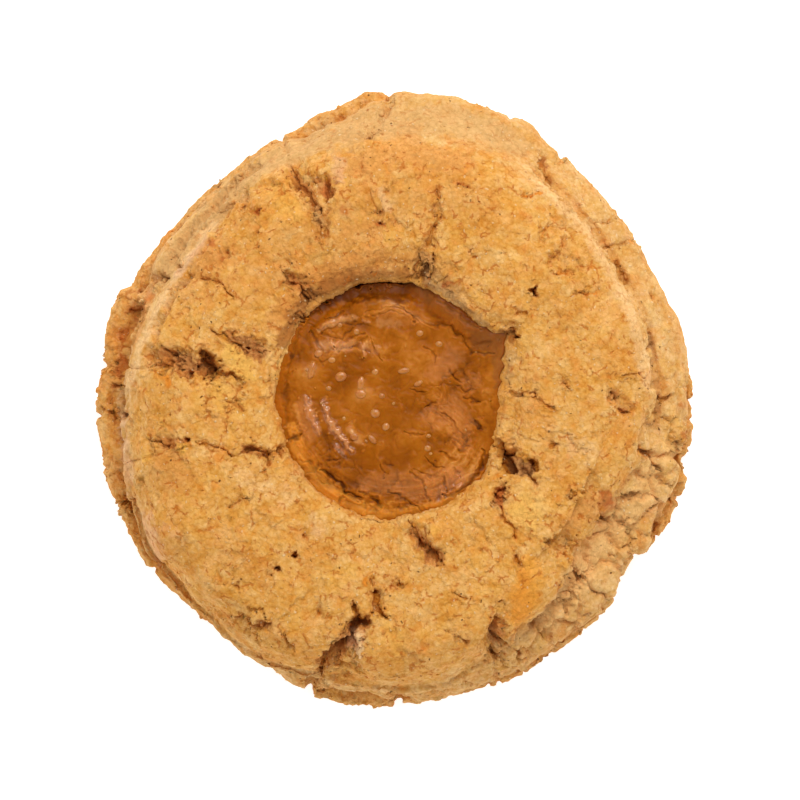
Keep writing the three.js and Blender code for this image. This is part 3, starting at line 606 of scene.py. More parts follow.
        ("umber", 0.6, [(335, 16.6, 2), (331.4, 18.8, 1.6)]),
        ("amber", 0.5, [(346, 16.2, 1.2), (358, 16, 1.2)]),
        ("amber", 0.7, [(170.8, 36.4, 1.6), (170, 35, 1.6)]),
        ("orange", 0.9, [(174.2, 34.8, 1), (175.8, 33.9, 1)]),
        ("rust", 0.5, [(161, 41.6, 2.4), (158, 42.6, 1.8)]),
        ("rust", 0.45, [(166, 41.2, 1.2), (175, 41.6, 1.4)]), ("rust", 0.6, [(182.4, 43, 1.6)]),
        ("orange", 0.6, [(201.6, 43.4, 1.2)]), ("yellow", 0.6, [(155, 41.8, 1)]),
        ("rust", 0.6, [(107.2, 34.6, 1.6), (109, 33.6, 1.2)]),
        ("amber", 0.6, [(114.6, 37.6, 1.4), (114, 34, 1.4)]),
        # painted shade in the crease along the left margin
        ("shadeGrey", 0.45, [(150, 36.5, 0.8), (158, 36.9, 1), (166, 37.2, 0.8)]),
        ("amber", 0.5, [(157, 40.2, 1.6), (162, 39.8, 2), (168, 40.2, 1.6)]),
        # painted shade in the outer crease on the left
        ("rust", 0.35, [(153, 40.3, 1), (160, 40.9, 1.6), (166, 40.9, 1.2), (172, 41.6, 1.2),
         (178, 42, 1.2)]),
        # painted shade in the creases outside the smooth strip on the right
        ("toast", 0.3, [(58, 40.7, 1.2), (50, 39.8, 1), (44, 39.3, 1), (34, 39.2, 1), (28, 38.9, 1)]),
        ("shadeGrey", 0.4, [(14, 39.2, 0.8), (6, 39.5, 1), (358, 39.6, 1)]),
        ("cream", 0.45, [(58, 38.9, 1.4), (40, 37.9, 2), (20, 37.4, 2), (4, 37.6, 1.8)]),
        # the pale seam on the left, with a painted highlight along its lit edge
        ("cream", 0.6, [(136, 37.9, 1), (149, 37.8, 1.2), (158, 38, 1.2), (168, 38.8, 1.3), (176, 39.8, 1.2),
         (184, 40.8, 1), (191, 41.2, 1)]),
        ("pink", 0.5, [(185, 41, 1.2), (192, 40.8, 1.8), (199, 42, 1.4)]),
        ("pink", 0.5, [(139, 37.1, 0.7), (150, 37.5, 0.9)]),
        # pale blocks on the ledge at the lower right, also painted lighter to lift the shade between them
        ("butter", 0.6, [(304, 41, 3), (314, 39.6, 4), (322, 38.4, 5), (332, 38.6, 5), (342, 39.6, 5),
         (350, 40.6, 3.6)]),
        # painted shade: the side to the north is darkened, against the light that falls on it from the north
        ("sideShade", 0.7, [(64, 42.6, 4), (74, 43, 5), (84, 42.6, 5), (96, 41.6, 5), (108, 40.6, 4.4),
         (118, 40.4, 3.4)]),
        # painted shade on the well's north wall, and in the pit of the bottom fissure
        ("umber", 0.4, [(106, 19.4, 1.2), (119, 19.8, 2), (130, 20, 1.6)]),
        ("shade", 0.5, [(254.6, 40.8, 2.8), (256.6, 40.2, 3.4)]),
        ("umber", 0.85, [(255.4, 39.8, 1.6), (256.6, 39.2, 2.2), (257.8, 38.2, 1.4)]),
        # streaks and specks
        ("orange", 0.9, [(54.5, 38, 0.3), (56.4, 37.2, 0.5), (58.4, 36.4, 0.3)]),
        ("orange", 0.8, [(38.5, 30.8, 0.6), (36.9, 32, 0.5)]),
        ("orange", 0.7, [(30.8, 31.7, 0.8), (28.1, 34.4, 0.3)]), ("orange", 0.7, [(33.9, 35.6, 0.9)]),
        ("orange", 0.6, [(42.4, 31.3, 0.6)]), ("amber", 0.8, [(43.4, 34.5, 0.6)]),
        ("orange", 0.55, [(49.2, 34.6, 0.5), (48, 32.8, 0.6)]),
        ("rust", 0.7, [(65, 36.4, 0.4), (63.6, 35.4, 0.5)]),
        ("orange", 0.6, [(73.2, 36.8, 0.5), (73.4, 35.4, 0.7)]), ("orange", 0.5, [(78.2, 39.2, 1.4)]),
        ("orange", 0.6, [(94.4, 38.2, 1.2)]), ("orange", 0.5, [(92.4, 35.4, 0.9), (92, 34, 0.6)]),
        ("orange", 0.5, [(96.8, 30.2, 0.6), (96.4, 28.8, 0.6)]),
        ("rust", 0.8, [(96.2, 26.4, 0.5), (94.4, 26.3, 0.6)]), ("rust", 0.9, [(73.9, 33.7, 0.8)]),
        ("rust", 0.8, [(71.7, 33.7, 0.8)]), ("rust", 0.5, [(105.5, 29.6, 1.2)]),
        ("rust", 0.85, [(126.4, 35.2, 1.3)]), ("amber", 0.8, [(129.4, 38.2, 0.9)]),
        ("orange", 0.6, [(125.4, 36.7, 0.8)]), ("rust", 0.7, [(139.2, 36.2, 1.2)]),
        ("orange", 0.5, [(137, 31.8, 1)]), ("rust", 0.5, [(141, 33.6, 0.8)]),
        ("orange", 0.6, [(103.2, 41.1, 0.8)]), ("amber", 0.8, [(95.7, 39.8, 0.8)]),
        ("orange", 0.6, [(77.1, 45, 0.9)]), ("umber", 0.5, [(76, 43.3, 0.5)]),
        ("rust", 0.5, [(58.8, 42.6, 1), (57, 41.8, 1)]), ("orange", 0.6, [(55.8, 43.9, 0.9)]),
        ("orange", 0.6, [(40.2, 42.2, 0.9)]), ("orange", 0.6, [(33.9, 42.9, 1.3)]),
        ("orange", 0.5, [(30.9, 43, 0.8)]), ("orange", 0.6, [(13.3, 41.2, 0.9)]),
        ("amber", 0.7, [(10.2, 21.3, 1)]),
        ("rust", 0.75, [(353.9, 18.9, 0.3), (350, 18.9, 0.6), (345.4, 19.1, 0.5)]),
        ("amber", 0.7, [(336.3, 18.6, 1.2)]), ("rust", 0.5, [(356.8, 34.3, 1.2)]),
        ("rust", 0.4, [(1.4, 33, 1.2)]), ("orange", 0.7, [(6.7, 34.1, 0.7)]),
        ("amber", 0.5, [(349.5, 35.2, 1.4)]), ("rust", 0.6, [(340.7, 34, 0.7)]),
        ("amber", 0.5, [(342.3, 27.2, 1)]), ("orange", 0.7, [(332.4, 35.1, 0.9)]),
        ("rust", 0.6, [(353.2, 43.2, 1.6)]), ("rust", 0.5, [(358.7, 43, 1.2)]),
        ("umber", 0.5, [(351.2, 42.3, 0.8)]), ("amber", 0.6, [(348, 38, 1.4)]),
        ("rust", 0.75, [(311.6, 36.3, 0.5), (310.6, 36.9, 0.8)]),
        ("orange", 0.7, [(301.5, 26.4, 0.7), (300, 27.4, 0.4)]),
        ("rust", 0.8, [(319.4, 20.2, 1.3), (316.2, 21.2, 1.2), (314, 22.6, 0.9)]),
        ("orange", 0.7, [(313.4, 23, 0.8), (312, 24.6, 0.6)]),
        ("orange", 0.7, [(312.6, 25.9, 0.5), (311, 27.6, 0.5)]), ("amber", 0.5, [(317, 31.6, 1.6)]),
        ("orange", 0.95, [(260.6, 27, 0.7), (260.8, 27.8, 0.8)]), ("orange", 0.8, [(236.2, 22.7, 0.7)]),
        ("amber", 0.7, [(271.8, 26.6, 0.9)]), ("orange", 0.7, [(271.6, 37.9, 0.9)]),
        ("rust", 0.5, [(267, 35, 1)]), ("amber", 0.5, [(224.8, 37.4, 0.9), (227.4, 37.2, 0.9)]),
        ("umber", 0.4, [(203.8, 33.3, 0.6), (205.3, 32.7, 0.5)]), ("orange", 0.6, [(192.2, 31.6, 1.4)]),
        ("yellow", 0.7, [(192.6, 32.4, 1.4)]), ("umber", 0.5, [(189.6, 36.2, 1)]),
        ("orange", 0.5, [(215.2, 32, 0.7), (213.6, 34.8, 0.5)]),
        ("orange", 0.5, [(187, 32.2, 1.4), (186.4, 34, 1.2)]),
        ("amber", 0.6, [(181.5, 24.2, 1), (183.6, 23, 0.9)]), ("umber", 0.4, [(240, 39, 1.6)]),
    ],
}


def wellEdge(angle):
    # where the dough meets the spread, a little ragged
    turn = np.radians(angle)
    around = np.stack([np.cos(turn), np.sin(turn), angle * 0], -1) * 17.0
    return dough["wallFoot"](angle) + layers(around, 2.6, 4, 90, 0.6) * dough["raggedWall"]


def doughProfile(angle):
    # (radius, height) of each bend of the profile, from the middle of the base round to the well's floor
    ragged = np.stack([np.cos(np.radians(angle)), np.sin(np.radians(angle)), angle * 0], -1) * 44
    outer = dough["outline"](angle) + layers(ragged, 2.6, 3, 3, 0.5) * 0.13
    for at, half, deep in dough["notches"]:
        away = np.abs(np.mod(angle - at + 180, 360) - 180) / half
        outer = outer - deep * np.clip(1 - away, 0, 1) ** 0.7
    shows = dough["footShows"](angle)
    foot = outer + np.minimum(0, shows)
    side = outer - np.maximum(0, shows)
    footTop = dough["footTop"] + dough["footRise"] * np.clip(shows / 3, 0, 1)
    footTop = footTop + layers(ragged, 9.0, 3, 4, 0.6) * 0.7
    groove = np.minimum(dough["grooveAt"](angle), side - 0.3)
    depth = dough["grooveDepth"](angle)
    ledge, crest = dough["ledgeTop"](angle), dough["crest"](angle)
    top, low = dough["wallTop"](angle), wellEdge(angle)
    level, floor, crestAt = dough["spreadLevel"], dough["wellFloor"], dough["crestAt"]
    still = np.zeros_like(angle)
    rise = crest - ledge

    def between(folded, plain):
        return depth * folded + (1 - depth) * plain

    return [
        # the base and the foot, to its top
        (still, still), (foot - 12, still), (foot - 2.2, still), (foot - 0.9, still + 0.02),
        (foot - 0.2, still + 0.6), (foot, still + 1.3), (foot - 0.3, footTop - 0.6),
        (foot * 0.5 + side * 0.5 - 0.15, footTop),
        # the side, the ledge and the groove
        (side - 0.6, footTop + 0.15), (side - 0.1, footTop + 0.9), (side, footTop * 0.5 + ledge * 0.5),
        (side - 0.45, ledge - 1.2), (groove * 0.45 + side * 0.55, ledge + 0.1),
        (groove + between(0.7, 0.6), ledge + between(0.6, 0.26 * rise)),
        (groove + between(0.15, -0.3), ledge + between(-0.3, 0.38 * rise)),
        (groove + between(0.0, -1.1), ledge + between(1.9, 0.5 * rise)),
        # the crown and its ring round the well
        (groove + between(-0.3, -2.1), ledge + between(0.4 * rise, 0.62 * rise)),
        (groove + between(-1.0, -3.4), ledge + between(0.64 * rise, 0.74 * rise)),
        (groove + between(-2.6, -5.0), crest - between(2.3, 2.1)),
        (groove + between(-5.2, -7.2), crest - between(0.9, 0.95)),
        (still + crestAt + 4.0, crest - 0.15), (still + crestAt, crest),
        (crestAt * 0.45 + top * 0.55, crest - 0.25), (top + 1.1, crest - 0.75), (top, crest - 1.5),
        # the wall and the floor of the well
        (top * 0.5 + low * 0.5, crest * 0.4 + level * 0.6), (low, still + level - 0.3),
        (low - 0.3, still + level - 2.4), (low - 2.0, still + floor + 0.6), (low - 5.0, still + floor),
        (still, still + floor),
    ]


def doughPlaces():
    # the dough's points before any relief, with where each one lies and how much of each zone it has
    columns = dough["columns"]
    angle = np.arange(columns) * 360.0 / columns
    grid = turned(splineRows(doughProfile(angle), dough["rows"]), angle)
    points = grid.reshape(-1, 3)
    at = SimpleNamespace(columns=columns, points=points, normals=gridNormals(grid).reshape(-1, 3))
    at.row = np.repeat(np.arange(len(grid)), columns)
    at.angles = np.degrees(np.arctan2(points[:, 1], points[:, 0]))
    at.radii = np.hypot(points[:, 0], points[:, 1])
    # rows at the bends where one zone passes into the next
    bend = np.cumsum([0] + dough["rows"])
    heel, lip, foot, footTop, at.seam, side, at.crease, brow, crown, brink, wall = bend[
        [2, 4, 6, 7, 8, 9, 14, 15, 18, 25, 27]]
    at.under = 1 - smooth(heel, lip, at.row)
    at.belowSide = 1 - smooth(footTop, side, at.row)
    inWell = smooth(brink, wall, at.row)
    at.onSide = smooth(lip, foot, at.row) * (1 - smooth(brow, crown, at.row))
    at.onCrown = smooth(brow, crown, at.row) * (1 - inWell)
    at.exposed = (1 - at.under) * (1 - inWell)
    shows = dough["footShows"](at.angles)
    at.footShows = np.clip(shows, 0, 1)
    at.knobbly = at.footShows * smooth(lip, foot, at.row) * at.belowSide
    at.paleEdge = dough["paleFrom"](at.angles)
    at.calm = dough["calm"](at.angles) * smooth(-0.9, 0.3, at.radii - at.paleEdge)
    at.calm *= 1 - smooth(0.3, 1.0, shows) * at.belowSide
    # everything drawn on the dough is bent by the same soft noise
    at.warp = np.stack([layers(points, 2.2, 3, seed, 0.6) for seed in (5, 6, 7)], -1)
    at.jitter = layers(points, 0.8, 2, 8, 0.7)
    sway = 0.35 + 0.9 * at.onSide * smooth(12.0, 7.0, points[:, 2])
    at.bent = points[:, :2] + at.warp[:, :2] * sway[:, None]
    return at


def drawCracks(at):
    # seams, furrows, broken places and cracks, each along its own route
    at.raised, at.hollow, at.broken, at.rubble, at.depth, at.dark, at.lip = np.zeros((7, len(at.points)))
    for high, route in dough["seams"]:
        inside, ratio = nearStroke(at.bent, onPlan(route))[:2]
        atLeast(at.raised, inside, high * smooth(1.7, 0.2, ratio))
        atLeast(at.calm, inside, 0.8 * smooth(1.6, 0.8, ratio))
    for deep, route in dough["furrows"]:
        inside, ratio = nearStroke(at.bent, onPlan(route))[:2]
        atLeast(at.hollow, inside, deep * smooth(1.5, 0.3, ratio))
        atLeast(at.broken, inside, smooth(1.5, 0.6, ratio))
    for deep, route in dough["breaks"]:
        inside, ratio = nearStroke(at.bent, onPlan(route))[:2]
        ratio = ratio * (1 + 0.35 * at.jitter[inside]) + 0.3 * at.warp[inside, 2]
        at.hollow[inside] += deep * smooth(1.1, 0.88, ratio) * (0.75 + 0.25 * at.warp[inside, 1])
        atLeast(at.broken, inside, smooth(1.5, 1.0, ratio))
        atLeast(at.rubble, inside, smooth(1.15, 0.8, ratio))
    for deep, route in dough["cracks"]:
        inside, ratio, half = nearStroke(at.bent, onPlan(route))
        # narrow cracks are more ragged, wide ones steeper
        ratio = ratio * (1 + (0.5 if half < 0.7 else 0.22) * at.jitter[inside]) + 0.25 * at.warp[inside, 2]
        steep = float(smooth(0.35, 0.8, half))
        # painted shade: each crack is darkened, the more the deeper it is
        crackShade = smooth(1.5 - 0.35 * steep, 0.35 + 0.25 * steep, ratio) * min(0.85, 0.3 + deep / 3.4)
        atLeast(at.depth, inside, deep * smooth(1.2, 0.35 + 0.4 * steep, ratio))
        atLeast(at.dark, inside, crackShade)
        atLeast(at.broken, inside, smooth(1.6 + 0.8 / half, 1.0, ratio))
        atLeast(at.lip, inside, smooth(1.2, 1.6, ratio) * smooth(1.8 + 0.5 / half, 1.6, ratio))
    # lumps on the floors of the broken places
    joint, own, lean = chunks(at.points * (1, 1, 0.8) + at.warp * 0.2, dough["lumpSize"], 27)
    at.hollow += at.rubble * (0.35 - own * 0.7 - lean * 0.6)
    at.dark = np.maximum(at.dark, at.rubble * 0.22 * smooth(0.12, 0.0, joint))
    print("dough: cracks and furrows are drawn")


def crustRelief(at):
    # how far each point stands out from the plain shape
    points, exposed, broken = at.points, at.exposed, at.broken
    low = 1 - 0.6 * smooth(9.0, 5.0, points[:, 2])
    relief = (at.raised - (at.depth + at.hollow) * low) * exposed + 0.08 * at.lip * exposed
    for angle, radius, half, high in dough["swellings"]:
        away = np.linalg.norm(at.bent - polar(angle, radius), axis=1) / half
        relief += high * np.exp(-2.5 * away ** 2) * at.onCrown
    for size, seed, onCrown, onSide in dough["waves"]:
        relief += layers(points, size, 2, seed) * (onCrown * at.onCrown + onSide * at.onSide)
    # plates of crust, broken apart and tipped by the rise of the dough
    for size, seed, apart, tip, gap in dough["plates"]:
        joint, own, lean = chunks(points * (1, 1, 0.8) + at.warp * size * 0.16, size, seed)
        patchy = smooth(-0.3, 0.5, layers(points, size * 3, 2, seed + 40))
        rough = exposed * (0.25 + 0.5 * patchy + 1.4 * broken + 0.2 * at.onSide) * (1 - 0.8 * at.calm)
        gaps = gap * (0.25 + broken + 0.3 * at.onSide) * smooth(0.06 * size, 0.0, joint)
        relief += rough * ((own - 0.5) * apart * 2 + lean * tip - gaps)
    # blocks along the ledge, and a fine unevenness over everything
    at.blocky = dough["blocky"](at.angles) * exposed * smooth(-0.6, 0.8, at.radii - at.paleEdge)
    joint, own, lean = chunks(points * (1, 1, 0.7) + at.warp * 0.5, dough["blockSize"], 25)
    relief += at.blocky * ((own - 0.5) * 0.9 + lean * 0.2 - 0.8 * smooth(0.45, 0.0, joint))
    fine = at.jitter * (0.03 + 0.07 * broken) + layers(points, 1.7, 2, 14) * 0.07
    relief += fine * exposed * (1 - 0.5 * at.calm)
    # the foot is knobbly
    joint = chunks(points + at.warp * 0.5, dough["knobSize"], 26)[0]
    relief += at.knobbly * (0.3 * layers(points, 3.4, 2, 15) - 0.35 * smooth(0.5, 0.0, joint))
    # nothing stands out like a thorn
    highest, pressed = dough["highest"], dough["pressed"]
    print("dough: plates and blocks are raised")
    return np.where(relief > highest, highest + pressed * np.tanh((relief - highest) / pressed), relief)


def markCrust(at, relief, mesh):
    # what the material and the crumbs need to know at each point
    worn = smooth(-0.5, 0.6, layers(at.points, 3.5, 3, 43, 0.6))
    # painted shade: the seam above the foot and the crease under the crown are darkened
    seam = np.exp(-((at.row - at.seam - 1) / 4.0) ** 2) * at.footShows
    crease = np.exp(-((at.row - at.crease) / 3.0) ** 2) * dough["grooveDepth"](at.angles)
    dark = np.maximum(at.dark, 0.36 * np.maximum(seam * (0.4 + 0.6 * worn), crease * worn)) * at.exposed
    foot = np.maximum(at.footShows * at.belowSide, at.under)
    ragged = at.radii + layers(at.points, 2.6, 3, 41, 0.6) * 0.8
    pale = smooth(at.paleEdge - 0.7, at.paleEdge + 0.5, ragged) * (1 - 0.5 * foot)
    spots = [(name, most, onPlan(route)) for name, most, route in dough["stains"]]
    tint, share = painted(at.bent, spots, dough["colours"], 0.3 * at.jitter + 0.2 * at.warp[:, 2], at.exposed)
    # painted shade: the floors of the broken places and the low places between the blocks are tinted browner
    # than the crust round them
    low = 0.4 * at.blocky * smooth(0.1, -0.6, relief)
    hollowShade = np.maximum(0.6 * at.rubble, low) * at.exposed * (1 - share)
    shade = np.array(linear(dough["colours"]["shade"])[:3])
    tint += (shade - tint) * (hollowShade / np.maximum(hollowShade + share, 1e-6))[:, None]
    crumbly = at.exposed * np.clip(0.1 + at.onSide * 0.4 * (1 - at.calm) + at.broken * 0.8, 0, 1)
    marks = {"dark": dark, "pale": pale, "foot": foot, "browned": at.onCrown * (0.3 + 0.7 * worn),
             "crumbly": crumbly, "rubble": at.rubble * at.exposed}
    stain = np.column_stack([tint, hollowShade + share])
    putOnPoints(mesh, "FLOAT", {name: onceAtPoles(values, at.columns) for name, values in marks.items()})
    putOnPoints(mesh, "FLOAT_COLOR", {"stain": onceAtPoles(stain, at.columns)})


def makeDough():
    at = doughPlaces()
    drawCracks(at)
    relief = crustRelief(at)
    moved = at.points + at.normals * relief[:, None]
    moved[:, 2] = np.maximum(moved[:, 2], 0)
    piece = closedMesh("cookie_dough", moved.reshape(-1, at.columns, 3))
    markCrust(at, relief, piece.data)
    return thinned(piece, dough["triangles"])


def fitToCad(piece, low, high):
    # the piece fills the box of the solid that it stands for
    points = pointsOf(piece)
    low, high = np.array(low), np.array(high)
    least, most = points.min(0), points.max(0)
    movePoints(piece, (points - least) * (high - low) / (most - least) + low)
    print(piece.name, "fitted by", np.round((high - low) / (most - least), 4))


